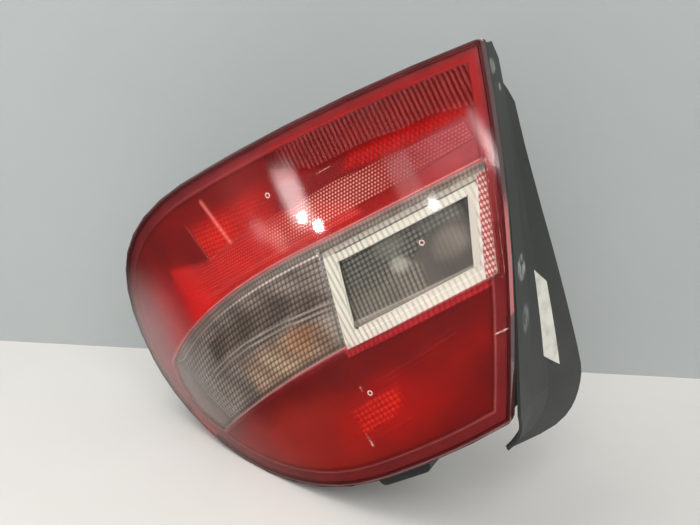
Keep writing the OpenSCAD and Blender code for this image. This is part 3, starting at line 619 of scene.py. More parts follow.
# The red behind the lower lens, with painted light and shade: brighter pools and a painted glow on the
# right, and the crests of cords, cells and ribs painted lighter as painted highlights
def lowerDesign(x, z):
    zones, pools, ramps, tones = (lowerLook[k] for k in ("zones", "pools", "ramps", "tones"))
    pitch, lean, height, rimLines = (lowerLook[k] for k in ("pitch", "lean", "relief", "rimLines"))
    toEdge, toBand, border = rimDistances(x, z)
    underBand = x < lowerLook["bandEnd"]
    cells = rib(x + lean["cells"] * z, pitch["across"]) * rib(z - lean["cells"] * x, pitch["up"])
    cords = rib(z - lean["cords"] * x, pitch["cords"])
    paint = Paint(x, tones["ground"])
    paint.lay(pool(x, z, *pools["left"]), tones["leftPool"])
    paint.lay(pool(x, z, *pools["middle"]), tones["middlePool"])
    paint.lay(zone(x, z, *zones["right"]), tones["right"])
    corded = zone(x, z, *zones["ropes"]) + zone(x, z, *zones["tail"])
    # Darker grooves between the cords as painted shade, lighter cords as painted highlights
    paint.lay(corded * (1 - cords), tones["shadedCordGrooves"])
    paint.lay(corded * cords, tones["cords"])
    paint.lay(pool(x, z, *pools["patch"]), tones["patchPool"])
    patch, strip = zone(x, z, *zones["patch"]), zone(x, z, *zones["strip"])
    paint.lay(patch, tones["patch"])
    paint.lay(patch * cells ** 1.3, tones["cells"])
    ribs = rib(x - lean["ribs"] * z, pitch["ribs"])
    paint.lay(crest(toBand, *lowerLook["rosy"]) * smooth(*ramps["rosy"], x) * underBand, tones["rosy"])
    paint.lay(strip, tones["strip"])
    paint.lay(strip * ribs ** 2, tones["ribs"])
    # Along the edge: the border, its lines and notches, and the lip. The dark groove beside the bead is
    # painted shade and the pale line on the bead a painted highlight; the darker band near the edge is
    # painted shade, and the pale lip and the line along the band are painted highlights.
    paint.lay(border, tones["border"])
    paint.lay(crest(toEdge, *rimLines["groove"]), tones["groove"])
    paint.lay(crest(toEdge, *rimLines["line"]), tones["line"])
    notches = (rib(z, pitch["notches"]) > 0.8) * crest(toEdge, *rimLines["notches"])
    paint.lay(notches * smooth(*ramps["notches"], x - lean["ribs"] * z), tones["notches"])
    paint.lay(crest(toBand, *lensRim["bandLine"]) * underBand, tones["bandLine"])
    for part in ("shade", "lip"):
        paint.lay(smooth(*lensRim[part], toEdge), tones[part])
    relief = (height["cells"] * patch * cells + height["cords"] * corded * cords
              + height["ribs"] * strip * ribs)
    return rimRelief(relief, toEdge, toBand, border), paint.colour


bandLook = {
    "zones": {
        "brown": (10, [(-116, -16), (-69, -7), (-33, -6), (-4, -12), (14, -22), (8, -28), (-30, -25),
                       (-75, -26), (-114, -33)]),
        "copper": (12, [(-88, -42), (-62, -35), (-18, -33), (-4, -37), (-2, -56), (-32, -58), (-88, -68)]),
        "core": (14, [(-33, -30), (-12, -34), (-24, -52), (-46, -46)]),
        "leftSmooth": (22, [(-200, -10), (-158, -12), (-150, -40), (-136, -74), (-150, -95), (-200, -60)]),
    },
    "brightPool": ((-62, -52), (40, 18), 0, 0.7),
    "ridge": {"line": [(-125, -37), (-100, -31), (-75, -27), (-30, -25), (16, -27)], "width": 0.6,
              "rows": [(0, 0.6), (-3.4, 0.5)], "shadeDrop": 1.7, "shadeWidth": 0.7, "reliefWidth": 1.0},
    "fan": {"line": [(-152, -32), (-146, -52), (-133, -76)], "width": 0.5, "count": 5, "pitch": 3.6},
    "drift": {"mean": 0.84, "swing": 0.16, "across": 0.19, "sway": 2.1, "up": 0.13},
    "edgeLines": {"foot": (2.2, 1.4), "bright": (1.0, 0.6), "beads": (7.3, 0.6), "beadShade": (8.9, 0.7)},
    "footTop": -40, "footRight": 4, "beadsRight": 20, "brightFoot": -30,
    "ramps": {
        "strip": (6.2, 6.8), "restAcross": (-8, 2), "restHeight": (-30, -36), "fan": (-30, -40),
        "beadsLeft": (-172, -150), "litBeads": (-120, -50), "frame": (-0.5, 0.1), "pinkAcross": (112, 124),
        "bandGap": (3.0, 4.2),
    },
    "pitch": {"ribs": 3.7, "rows": 3.4, "gridAcross": 2.8, "gridDown": 3.1, "diamonds": 4.2},
    "lean": {"ribs": 0.30, "diamonds": 0.6, "pink": 0.35},
    "relief": {"cells": 0.8, "diamonds": 0.5, "ridge": 0.5, "sink": 0.5},
    "ground": {
        "plain": (70, 60, 53), "brown": (40, 31, 26, 0.9), "copper": (84, 58, 44, 0.8),
        "core": (96, 58, 38, 0.7), "rest": (134, 118, 102, 0.7), "strip": (92, 82, 74),
    },
    "tops": {
        "plain": (168, 153, 142), "brown": (118, 101, 89, 0.8), "copper": (176, 140, 112, 0.9),
        "bright": (224, 194, 164, 0.9), "core": (190, 136, 96, 0.6), "rest": (176, 162, 146, 0.5),
        "strip": (164, 150, 138),
    },
    "tones": {
        "ridge": (186, 174, 160), "ridgeShade": (60, 50, 44, 0.6), "leftSmooth": (126, 110, 101, 0.9),
        "fan": (200, 188, 178, 0.5), "footShade": (74, 58, 50, 0.7), "beads": (186, 160, 150, 0.8),
        "litBeads": (255, 238, 228, 0.9), "beadShade": (62, 54, 48, 0.5), "frame": (232, 222, 206),
        "pink": (200, 38, 50), "diamonds": (252, 214, 206), "edgeLine": (214, 150, 146, 0.7),
    },
}


# The height of the band's top and foot at each x
def bandHeights(x):
    top = bandTopRow[np.argsort(bandTopRow[:, 0])]
    foot = bandFootRow[np.argsort(bandFootRow[:, 0])]
    return np.interp(x, top[:, 0], top[:, 1]), np.interp(x, foot[:, 0], foot[:, 1])


# Woven cells: the darker ground between them, painted shade, their bright tops, painted highlights, and how
# much of each shows, waved across the band as painted light
def bandCells(x, z, down, share, strip, leftSmooth):
    zones, ramps, pitch = (bandLook[k] for k in ("zones", "ramps", "pitch"))
    ground, tops = Paint(x, bandLook["ground"]["plain"]), Paint(x, bandLook["tops"]["plain"])
    copper = zone(x, z, *zones["copper"])
    # The copper zone, its bright pool and its core are a painted amber glow
    areas = {
        "brown": zone(x, z, *zones["brown"]), "copper": copper,
        "bright": copper * pool(x, z, *bandLook["brightPool"]), "core": zone(x, z, *zones["core"]),
        "rest": smooth(*ramps["restAcross"], x) * smooth(*ramps["restHeight"], z), "strip": strip,
    }
    for area, mask in areas.items():
        for paint, tones in ((ground, bandLook["ground"]), (tops, bandLook["tops"])):
            if area in tones:
                paint.lay(mask, tones[area])
    lean = x - bandLook["lean"]["ribs"] * z
    ribs, rows = rib(lean, pitch["ribs"]), rib(share * clearBand["height"], pitch["rows"])
    grid = rib(lean, pitch["gridAcross"]) * rib(down, pitch["gridDown"])
    cells = (1 - strip) * (ribs * rows) ** 1.6 + strip * grid ** 1.4
    d = bandLook["drift"]
    drift = d["mean"] + d["swing"] * np.sin(d["across"] * x + d["sway"] * np.sin(d["up"] * z))
    cells = np.clip(cells, 0, 1) * drift * (1 - leftSmooth)
    ground.colour = ground.colour * (1 - cells[:, None]) + tops.colour * cells[:, None]
    return ground, cells, ribs


def bandDesign(x, z):
    ramps, tones, height, lines = (bandLook[k] for k in ("ramps", "tones", "relief", "edgeLines"))
    ridge, fan = bandLook["ridge"], bandLook["fan"]
    top, foot = bandHeights(x)
    down = top - z
    toFrame, toBand = signedDistance(frameCorners, x, z), signedDistance(bandCorners, x, z)
    strip = 1 - smooth(*ramps["strip"], down)
    leftSmooth = zone(x, z, *bandLook["zones"]["leftSmooth"])
    paint, cells, ribs = bandCells(x, z, down, down / (top - foot), strip, leftSmooth)
    # A pale line along each ridge as a painted highlight, with a dark line below it as painted shade
    for shift, strength in ridge["rows"]:
        paint.lay(strength * stroke(x, z - shift, ridge["width"], ridge["line"]), tones["ridge"])
        under = z - shift + ridge["shadeDrop"]
        paint.lay(stroke(x, under, ridge["shadeWidth"], ridge["line"]), tones["ridgeShade"])
    paint.lay(leftSmooth, tones["leftSmooth"])
    fanned = np.zeros(len(x))
    for k in range(fan["count"]):
        fanned = np.maximum(fanned, stroke(x - fan["pitch"] * k, z, fan["width"], fan["line"]))
    paint.lay(fanned * smooth(*ramps["fan"], z), tones["fan"])
    atFoot = (z < bandLook["footTop"]) * (x < bandLook["footRight"])
    paint.lay(crest(toBand, *lines["foot"]) * atFoot, tones["footShade"])
    # A row of beads under the band's top, lit on the rib crests and with its shade below, both painted
    beaded = x < bandLook["beadsRight"]
    beads = crest(down, *lines["beads"]) * beaded * smooth(*ramps["beadsLeft"], x)
    paint.lay(beads, tones["beads"])
    paint.lay(beads * ribs ** 3 * smooth(*ramps["litBeads"], x), tones["litBeads"])
    paint.lay(crest(down, *lines["beadShade"]) * beaded, tones["beadShade"])
    # The frame of the window, with a rosy outer half at its inboard end
    inFrame = smooth(*ramps["frame"], toFrame)
    paint.lay(inFrame, tones["frame"])
    net = diamondNet(x, z, bandLook["pitch"]["diamonds"], bandLook["lean"]["diamonds"])
    pink = (1 - inFrame) * smooth(*ramps["pinkAcross"], x + bandLook["lean"]["pink"] * z) * (1 - strip)
    paint.lay(pink, tones["pink"])
    paint.lay(pink * net ** 1.5, tones["diamonds"])
    # A pale line along the band's edge: a painted highlight
    paint.lay(crest(toBand, *lines["bright"]) * (z > bandLook["brightFoot"]), tones["edgeLine"])
    relief = (height["cells"] * cells * (1 - inFrame) + height["diamonds"] * pink * net
              + height["ridge"] * stroke(x, z, ridge["reliefWidth"], ridge["line"]))
    return relief * smooth(*ramps["bandGap"], toBand) - height["sink"], paint.colour


windowLook = {
    "zones": {
        "ribbed": (4, [(24, -24), (70, -22), (80, -30), (76, -48), (16, -49), (14, -40)]),
        "dotted": (4, [(30, -1), (82, -3), (92, -14), (78, -24), (24, -25)]),
        "right": (4, [(88, -1), (132, -1), (128, -14), (92, -14)]),
    },
    "pools": {
        "upper": ((66, -10), (11, 7), 0, 0.5),
        "dark": ((42, -24), (26, 7), 6),
        "right": ((103, -26), (12, 9), 8, 0.45),
        "bulb": ((67, -24), (6, 5), 0, 0.5),
    },
    "ramps": {"end": (112, 120), "ribsRight": (84, 90), "foot": (-45.5, -46.5)},
    "footLine": (-45.4, 0.6),
    "pitch": {"ribs": 3.4, "cross": 3.2}, "lean": {"ribs": 0.1, "cross": 0.05, "end": 0.2},
    "relief": {"ribs": 0.8, "right": 0.3},
    "tones": {
        "ground": (100, 94, 88), "dotted": (42, 45, 41), "dots": (134, 131, 120, 0.9),
        "upperPool": (132, 128, 118, 0.5), "ribbed": (58, 56, 51), "ribs": (150, 142, 129, 0.8),
        "darkPool": (24, 28, 30, 0.65), "right": (92, 90, 84), "rightCells": (160, 154, 144, 0.5),
        "end": (66, 66, 62, 0.8), "rightPool": (142, 131, 121, 0.6), "shadedRibGrooves": (52, 52, 48, 0.25),
        "bulbPool": (176, 172, 158, 0.6), "foot": (150, 138, 126), "footLine": (184, 174, 162, 0.8),
    },
}


# The window's optics, with painted light and shade: a dark pool and darker grooves as painted shade, the
# crests of ribs and cells painted lighter as painted highlights, and brighter pools, one where the bulb
# sits, as painted light
def windowDesign(x, z):
    zones, pools, ramps, tones = (windowLook[k] for k in ("zones", "pools", "ramps", "tones"))
    pitch, lean, height = (windowLook[k] for k in ("pitch", "lean", "relief"))
    ribs, cross = rib(x - lean["ribs"] * z, pitch["ribs"]), rib(z - lean["cross"] * x, pitch["cross"])
    ribbed, dotted, right = (zone(x, z, *zones[k]) for k in ("ribbed", "dotted", "right"))
    paint = Paint(x, tones["ground"])
    paint.lay(dotted, tones["dotted"])
    paint.lay(dotted * (ribs * cross) ** 1.6, tones["dots"])
    paint.lay(pool(x, z, *pools["upper"]), tones["upperPool"])
    paint.lay(ribbed, tones["ribbed"])
    paint.lay(ribbed * ribs ** 2 * (0.5 + 0.5 * cross), tones["ribs"])
    paint.lay(ribbed * pool(x, z, *pools["dark"]) * (1 - cross * ribs), tones["darkPool"])
    paint.lay(right, tones["right"])
    paint.lay(right * (ribs * cross) ** 2, tones["rightCells"])
    paint.lay(smooth(*ramps["end"], x + lean["end"] * z), tones["end"])
    paint.lay(pool(x, z, *pools["right"]), tones["rightPool"])
    paint.lay((1 - ribs) * smooth(*ramps["ribsRight"], x), tones["shadedRibGrooves"])
    paint.lay(pool(x, z, *pools["bulb"]), tones["bulbPool"])
    paint.lay(smooth(*ramps["foot"], z), tones["foot"])
    paint.lay(crest(z, *windowLook["footLine"]), tones["footLine"])
    relief = (height["ribs"] * ribs * np.maximum(ribbed, dotted * cross)
              + height["right"] * right * ribs * cross)
    return relief, paint.colour


reflexLook = {
    "pitch": 2.4, "dotSize": 0.40, "relief": 0.55, "edge": (0, 2), "pool": ((46, 29), (46, 12), 0, 0.55),
    "ramps": {"left": (-125, -60), "lit": (100, 80), "right": (88, 116)},
    "tones": {"dots": (214, 92, 88, 0.35), "lit": (244, 172, 156, 0.85), "right": (190, 104, 108, 0.4)},
}
reflexCorners = spots((-88, 15), (-44, 18), (7, 20), (97, 21), (147, 24), (146, 35), (105, 38), (54, 41),
                      (8, 40), (-40, 38), (-88, 32))


def reflexDesign(x, z):
    ramps, tones = reflexLook["ramps"], reflexLook["tones"]
    toEdge = signedDistance(reflexCorners, x, z)
    dots = honeycomb(x, z, reflexLook["pitch"], reflexLook["dotSize"])
    paint = upperPaint(x, z, -signedDistance(bandCorners, x, z))[0]
    paint.lay(dots * smooth(*ramps["left"], x), tones["dots"])
    paint.lay(pool(x, z, *reflexLook["pool"]) * dots * smooth(*ramps["lit"], x), tones["lit"])
    paint.lay(smooth(*ramps["right"], x) * dots, tones["right"])
    return reflexLook["relief"] * dots * smooth(*reflexLook["edge"], toEdge), paint.colour


# Each sheet's grid step and how far it lies behind the face, the gaps round the sheets, and the cut
# between the upper and the lower one
sheetGrid = {"upper": (0.55, 5.0), "lower": (0.6, 5.0), "band": (0.5, 5.1), "window": (0.5, 8.5),
             "reflex": (0.45, 4.6)}
sheetGaps = {"rim": 0.25, "band": 0.2}
cutLine = spots((-260, -55), (230, -20))

rim, hole = inset(lensCorners, sheetGaps["rim"]), inset(bandCorners, sheetGaps["band"])
upperEdge, lowerEdge = cutAlong(rim, *cutLine), cutAlong(rim, *cutLine[::-1])
windowHole, screenEdge = (inset(frameCorners, windowFrame[k]) for k in ("bandInset", "screenInset"))
upperOptics = opticSheet("upperOptics", upperEdge, *sheetGrid["upper"], upperDesign, "red", hole)
lowerOptics = opticSheet("lowerOptics", lowerEdge, *sheetGrid["lower"], lowerDesign, "red", hole)
bandOptics = opticSheet("bandOptics", hole, *sheetGrid["band"], bandDesign, "clear", windowHole)
windowOptics = opticSheet("windowOptics", screenEdge, *sheetGrid["window"], windowDesign, "clear")
reflexPrisms = opticSheet("reflexPrisms", reflexCorners, *sheetGrid["reflex"], reflexDesign, "red")
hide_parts("reflex_reflector")


def opticFinish(name, metallic, rough):
    f = Finish(name)
    paint = f.node("ShaderNodeAttribute", {"attribute_name": "paint"}, output="Color")
    wander = f.noise(38, 4, 0.6)
    colour = f.mix(wander.smooth(0.3, 0.75) * 0.25, paint, (0.0, 0.0, 0.0))
    return f.close(f.shader(Base_Color=colour, Metallic=metallic, Roughness=rough + 0.1 * wander))


redInside, greyInside = opticFinish("redOptics", 0.0, 0.45), opticFinish("clearOptics", 0.2, 0.36)
for piece, finish in ((upperOptics, redInside), (lowerOptics, redInside), (reflexPrisms, redInside),
                      (bandOptics, greyInside), (windowOptics, greyInside)):
    piece.data.materials.append(finish)
print("optics made")

# Clear mouldings: gloss outside and tinted through, with a solid-looking skirt and a frosted frame
acrylic = {"ior": 1.49, "roughness": 0.05, "haze": 0.02, "scratches": 0.03}
redAcrylic = {
    "tint": (0.97, 0.66, 0.64), "deepTint": (0.93, 0.34, 0.32), "shade": (0.98, 0.84, 0.83),
    "skirt": seen(74, 13, 17), "jointHighlight": seen(206, 104, 102), "mark": seen(236, 196, 186),
    "skirtDepth": (5.2, 6.0), "skirtTurn": (0.35, 0.6), "skirtRoughness": 0.1, "markStrength": 0.6,
    "jointLeft": (-183, -180), "jointRight": (142, 150), "jointFoot": (-84, -80), "jointTop": (14, 16),
    "deepLean": 0.12, "deepHeight": (56.0, 62.0), "deepAcross": (0.0, 30.0),
    "marks": [((-15.5, -87, -121.5), (0.8, 20, 8)), ((108, -86, -88.5), (6, 20, 0.7)),
              ((0, -87, -86.5), (0.5, 20, 2.5)), ((52, -90, 50.5), (7, 20, 0.4)),
              ((30, -88, 47), (3.5, 20, 0.5))],
}
clearAcrylic = {
    "tint": (0.95, 0.94, 0.92), "shade": (0.97, 0.97, 0.96), "frost": seen(246, 239, 226),
    "shadedOuterRow": seen(206, 197, 184), "line": seen(255, 252, 246), "groove": seen(120, 110, 100),
    "rose": seen(192, 58, 66), "pale": seen(250, 216, 208), "frosting": 0.75, "roughness": 0.35,
    "outerEdge": (-0.3, 0.1), "innerEdge": (8.8, 9.2), "endWider": 4.0, "frostDepth": (3.05, 3.15),
    "rowEdge": (3.2, 3.6), "roseEdge": (6.4, 6.8), "weave": (1.5, 0.9), "weaveEdge": (-0.15, 0.45),
    "stripe": 5.0, "stripeTop": 1.6, "stripeEnd": 2.4, "stripeEdge": (0.25, 0.75),
    "stripeLeft": (8.0, 10.0), "grooveToLine": (4.0, 8.0),
}


def clearGloss(f, values, tint=None):
    haze = f.noise(90, 4, 0.6, (1, 1, 0.25))
    scratch = f.noise(700, 2, 0.7, (0.04, 1, 1)).smooth(0.66, 0.80)
    rough = acrylic["roughness"] + acrylic["haze"] * haze + acrylic["scratches"] * scratch
    gloss = f.shader(Base_Color=values["tint"] if tint is None else tint, Transmission_Weight=1.0,
                     IOR=acrylic["ior"], Roughness=rough)
    shadow = f.node("ShaderNodeLightPath", output="Is Shadow Ray")
    return f.blend(shadow, gloss, f.node("ShaderNodeBsdfTransparent", None, {"Color": values["shade"]}))


# The depth of a point behind the face of the lens, in millimetres
def depthBehindFace(f):
    x, y, z = (axis * 1000.0 for axis in f.place())
    across, upward = x - lensFace["crownX"], z - lensFace["crownZ"]
    plan = (float(lensFace["planRadius"] ** 2) - across * across).root()
    ring = plan + float(lensFace["sideRadius"] - lensFace["planRadius"])
    return y - float(lensFace["sideRadius"] - lensFace["depth"]) + (ring * ring - upward * upward).root()


def redMoulding(values):
    f = Finish("redAcrylic")
    x, y, z = (axis * 1000.0 for axis in f.place())
    normal = f.node("ShaderNodeNewGeometry", output="Normal")
    turned = Sock(f, f.node("ShaderNodeSeparateXYZ", None, {0: normal}).socket.node.outputs[1])
    side = 1.0 - abs(turned).smooth(*values["skirtTurn"])
    # The wall of the opening for the band is painted paler than the skirt, as a painted highlight along the
    # band's edge
    inBand = x.smooth(*values["jointLeft"]) * (1.0 - x.smooth(*values["jointRight"]))
    inBand = inBand * z.smooth(*values["jointFoot"]) * (1.0 - z.smooth(*values["jointTop"]))
    skirt = f.shader(Base_Color=f.mix(inBand, values["skirt"], values["jointHighlight"]),
                     Roughness=values["skirtRoughness"], IOR=acrylic["ior"])
    # The upper corner, where the flutes are, is a deeper red
    deep = (values["deepLean"] * x + z).smooth(*values["deepHeight"]) * x.smooth(*values["deepAcross"])
    gloss = clearGloss(f, values, f.mix(deep, values["tint"], values["deepTint"]))
    body = f.blend(depthBehindFace(f).smooth(*values["skirtDepth"]).atLeast(side), gloss, skirt)
    marks = 0.0
    for centre, half in values["marks"]:
        marks = f.spot(centre, half) + marks
    pale = f.shader(Base_Color=values["mark"], Roughness=0.4)
    broken = f.noise(420, 3, 0.6).smooth(0.35, 0.6)
    return f.close(f.blend(marks * broken * values["markStrength"], body, pale))


def clearMoulding(values):
    f = Finish("clearAcrylic")
    x, y, z = (axis * 1000.0 for axis in f.place())
    middle = frameCorners.mean(0)
    away = []
    for a, b in zip(frameCorners, np.roll(frameCorners, -1, 0)):
        out = np.array([a[1] - b[1], b[0] - a[0]]) / np.linalg.norm(b - a)
        out = out if out @ (middle - a) > 0 else -out
        away.append(x * float(out[0]) + z * float(out[1]) - float(out @ a))
    top, left, foot, end = away
    ring = top.atMost(left).atMost(foot)
    covered = ring.atMost(end).smooth(*values["outerEdge"])
    covered = covered * (1.0 - ring.atMost(end - values["endWider"]).smooth(*values["innerEdge"]))
    # A grey outer row and a bright inner one, painted shade and a painted highlight; a line round three
    # sides, a painted highlight that turns dark along the top as painted shade; and rosy diamonds inboard
    colour = f.mix(top.smooth(*values["rowEdge"]), values["shadedOuterRow"], values["frost"])
    stripe = (top + values["stripeTop"]).atMost(foot).atMost(end - values["stripeEnd"]) - values["stripe"]
    stripe = (1.0 - abs(stripe).smooth(*values["stripeEdge"])) * left.smooth(*values["stripeLeft"])
    lined = f.mix(top.smooth(*values["grooveToLine"]), values["groove"], values["line"])
    colour = f.mix(stripe, colour, lined)
    a, b = values["weave"]
    weave = ((a * x + b * z).sine() * (a * x - b * z).sine()).smooth(*values["weaveEdge"])
    rosy = 1.0 - end.smooth(*values["roseEdge"])
    colour = f.mix(rosy, colour, f.mix(weave, values["rose"], values["pale"]))
    frost = f.shader(Base_Color=colour, Roughness=values["roughness"])
    covered = covered * depthBehindFace(f).smooth(*values["frostDepth"]) * values["frosting"]
    return f.close(f.blend(covered, clearGloss(f, values), frost))


dress("red_lens", redMoulding(redAcrylic))
dress("clear_lens", clearMoulding(clearAcrylic))

# Small moulded rings on the face, where the plastic was let in; their pale colour is a painted glint
gateRings = {"places": [(6, 54), (90, -18), (5, -91)], "radius": 1.5, "thickness": 0.38, "waver": 0.15,
             "around": 28, "section": 10, "light": seen(244, 214, 204), "dark": seen(226, 180, 172)}


def makeGateRings(spec):
    vertices, faces = [], []
    around, section = spec["around"], spec["section"]
    for cx, cz in spec["places"]:
        first = len(vertices)
        for i in range(around):
            a = 2 * math.pi * i / around
            thick = spec["thickness"] * (1 + spec["waver"] * math.cos(3 * a))
            for j in range(section):
                b = 2 * math.pi * j / section
                r = spec["radius"] + thick * math.cos(b)
                x, z = cx + r * math.cos(a), cz + r * math.sin(a)
                vertices.append((x * mm, (faceAt(x, z) - 0.5 * thick * math.sin(b)) * mm, z * mm))
                k, n = (i + 1) % around, (j + 1) % section
                faces.append((first + i * section + j, first + i * section + n,
                              first + k * section + n, first + k * section + j))
    mesh = bpy.data.meshes.new("gateRings")
    mesh.from_pydata(vertices, [], faces)
    mesh.shade_smooth()
    piece = bpy.data.objects.new("gateRings", mesh)
    bpy.context.collection.objects.link(piece)
    f = Finish("gateRings")
    cloud = f.noise(800, 2)
    mesh.materials.append(f.close(f.shader(Base_Color=f.mix(cloud, spec["light"], spec["dark"]),
                                           Roughness=0.15 + 0.1 * cloud)))
    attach(piece, "root")


makeGateRings(gateRings)
print("rings made")

# The studs with their rolled thread, where the node has plain rods
threadedStud = {"around": 36, "steps": 8, "pitch": 1.0, "depth": 0.34, "radius": 3.0, "chamfer": 0.8,
                "collarFrom": 1.5, "sharpFrom": 50}


# The rings of points from foot to tip: how far along, how wide, and how deep the thread is
def studRows(spec, own, away):
    foot, tip = own[:, 1].min(), own[:, 1].max()
    collar = own[away > spec["collarFrom"] * spec["radius"], 1]
    rows = [(foot, spec["radius"], 0), (collar.min(), spec["radius"], 0), (collar.min(), away.max(), 0),
            (collar.max(), away.max(), 0), (collar.max(), spec["radius"], 0)]
    count = int((tip - collar.max()) / spec["pitch"] * spec["steps"])
    for y in np.linspace(collar.max() + 0.05, tip, count):
        rows.append((y, min(spec["radius"], spec["radius"] - spec["chamfer"] + tip - y), spec["depth"]))
    return rows


def makeThreadedStuds(spec):
    points = np.array([v.co[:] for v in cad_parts["mounting_studs"].data.vertices]) / mm
    vertices, faces = [], []
    around = spec["around"]
    for side in (-1, 1):
        own = points[points[:, 0] * side > 0]
        cx, cz = (own[:, 0].min() + own[:, 0].max()) / 2, (own[:, 2].min() + own[:, 2].max()) / 2
        rows = studRows(spec, own, np.hypot(own[:, 0] - cx, own[:, 2] - cz))
        first = len(vertices)
        for y, widest, depth in rows:
            for j in range(around):
                a = 2 * math.pi * j / around
                groove = depth * abs(2 * ((y / spec["pitch"] - j / around) % 1) - 1)
                r = min(widest, spec["radius"] - groove) if depth else widest
                vertices.append(((cx + r * math.cos(a)) * mm, y * mm, (cz + r * math.sin(a)) * mm))
        for i in range(len(rows) - 1):
            for j in range(around):
                k, here, beyond = (j + 1) % around, first + i * around, first + (i + 1) * around
                faces.append((here + j, beyond + j, beyond + k, here + k))
        faces.append(tuple(range(first, first + around)))
        faces.append(tuple(reversed(range(len(vertices) - around, len(vertices)))))
    mesh = bpy.data.meshes.new("threadedStuds")
    mesh.from_pydata(vertices, [], faces)
    mesh.shade_smooth()
    mesh.set_sharp_from_angle(angle=math.radians(spec["sharpFrom"]))
    piece = bpy.data.objects.new("threadedStuds", mesh)
    bpy.context.collection.objects.link(piece)
    mesh.materials.append(stained("rolledZinc", (196, 192, 176), (150, 144, 124), 200, 1.0, 0.28))
    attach(piece, "root")
    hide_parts("mounting_studs")


# Black mouldings: fine grain, dust, and pale scuffs where the part has been handled
blackPlastic = {"colour": seen(46, 48, 47), "dust": seen(112, 110, 104), "scuff": seen(186, 188, 184),
                "dusty": 0.5, "marks": [], "clouding": 0.5, "rubbing": 0.3, "specks": 0.3,
                "roughness": 0.40, "bump": 0.15, "bumpDepth": 0.0002}
coverMarks = [((130, -59, -64), (7, 11, 12), 0.9), ((114, -56, -94), (6, 9, 17), 0.45),
              ((172, -62, 57), (6, 9, 6), 0.45), ((168, -54, 44), (2, 3, 3), 0.8),
              ((100, -42, -125), (3, 4, 3), 0.9), ((97, -38, -128), (2, 3, 2), 0.9)]


def grainedPlastic(name, values):
    f = Finish(name)
    cloud = f.noise(14, 4, 0.6)
    speck = f.noise(520, 2, 0.5).smooth(0.72, 0.80)
    rubbed = f.noise(60, 5, 0.7, (1, 1, 0.3)).smooth(0.60, 0.80)
    dulled = cloud.smooth(0.4, 0.75) * values["clouding"] * values["dusty"]
    colour = f.mix(dulled, values["colour"], values["dust"])
    colour = f.mix(rubbed * values["rubbing"] * values["dusty"], colour, values["dust"])
    colour = f.mix(speck * values["specks"], colour, values["scuff"])
    streaks = f.noise(260, 4, 0.65, (1, 1, 0.25)).smooth(0.36, 0.62)
    for centre, half, strength in values["marks"]:
        colour = f.mix(f.spot(centre, half) * streaks * strength, colour, values["scuff"])
    grain = f.noise(1800, 2, 0.5)
    return f.close(f.shader(Base_Color=colour, Roughness=values["roughness"] + 0.2 * cloud,
                            Normal=f.bump(grain, values["bump"], values["bumpDepth"])))


coverPlastic = {**blackPlastic, "colour": seen(54, 56, 54), "marks": coverMarks, "dusty": 0.3}
dress("housing", grainedPlastic("housingPlastic", blackPlastic))
dress("gutter_cover", grainedPlastic("coverPlastic", coverPlastic))


# Rubber, foam and sealant: darker and lighter than their tone by turns, with pores
def softBlack(name, tone, scale, depth, rough):
    f = Finish(name)
    pores = f.noise(scale, 3, 0.6)
    dark, light = (tuple(c * share for c in seen(*tone)) for share in (0.6, 1.5))
    shade = f.mix(pores, dark, light)
    return f.close(f.shader(Base_Color=shade, Roughness=rough, Normal=f.bump(pores, 0.6, depth)))


sealant = softBlack("sealantBead", (34, 34, 36), 300, 0.0004, 0.55)
dress("body_gasket", softBlack("gasketFoam", (58, 58, 60), 900, 0.0008, 0.95))
dress("lens_seal", sealant)
dress("holder_seal", sealant)
dress("breather_cap", softBlack("breatherRubber", (44, 44, 44), 500, 0.0003, 0.6))


# Two tones, the scale of the stains between them, how metallic and how rough
def stained(name, first, second, scale, metallic, rough):
    f = Finish(name)
    stain = f.noise(scale, 4, 0.65)
    colour = f.mix(stain.smooth(0.4, 0.75), seen(*first), seen(*second))
    return f.close(f.shader(Base_Color=colour, Metallic=metallic, Roughness=rough + 0.2 * stain,
                            Normal=f.bump(f.noise(1500, 2), 0.12, 0.0002)))


def clearGlass(name, tint):
    f = Finish(name)
    smear = f.noise(120, 3)
    glass = f.shader(Base_Color=tint, Transmission_Weight=1.0, IOR=1.5, Roughness=0.01 + 0.03 * smear)
    shadow = f.node("ShaderNodeLightPath", output="Is Shadow Ray")
    return f.close(f.blend(shadow, glass, f.node("ShaderNodeBsdfTransparent", None, {"Color": tint})))


stainedFinishes = {
    "bulb_holder": ("holderPlastic", (186, 186, 180), (150, 146, 136), 20, 0.0, 0.45),
    "contact_tracks": ("contactBrass", (214, 184, 120), (140, 112, 70), 200, 1.0, 0.24),
    "reflector": ("metallised", (236, 237, 240), (214, 216, 220), 30, 1.0, 0.08),
    "label": ("labelPaper", (222, 220, 210), (190, 186, 172), 60, 0.0, 0.6),
    "mounting_studs": ("zincSteel", (196, 192, 176), (150, 144, 124), 200, 1.0, 0.28),
}
for node, values in stainedFinishes.items():
    dress(node, stained(*values))
makeThreadedStuds(threadedStud)
print("studs made")

dress("reflex_reflector", redInside)
bulbGlass = clearGlass("bulbGlass", (0.95, 0.97, 0.97))
amberGlass = clearGlass("amberGlass", (0.98, 0.50, 0.10))
capMetal = stained("capMetal", (206, 202, 190), (160, 152, 134), 200, 1.0, 0.2)
for use in ("stop", "indicator", "reversing", "fog"):
    dress(use + "_bulb_glass", amberGlass if use == "indicator" else bulbGlass)
    dress(use + "_bulb_cap", capMetal)
print("finishes made")

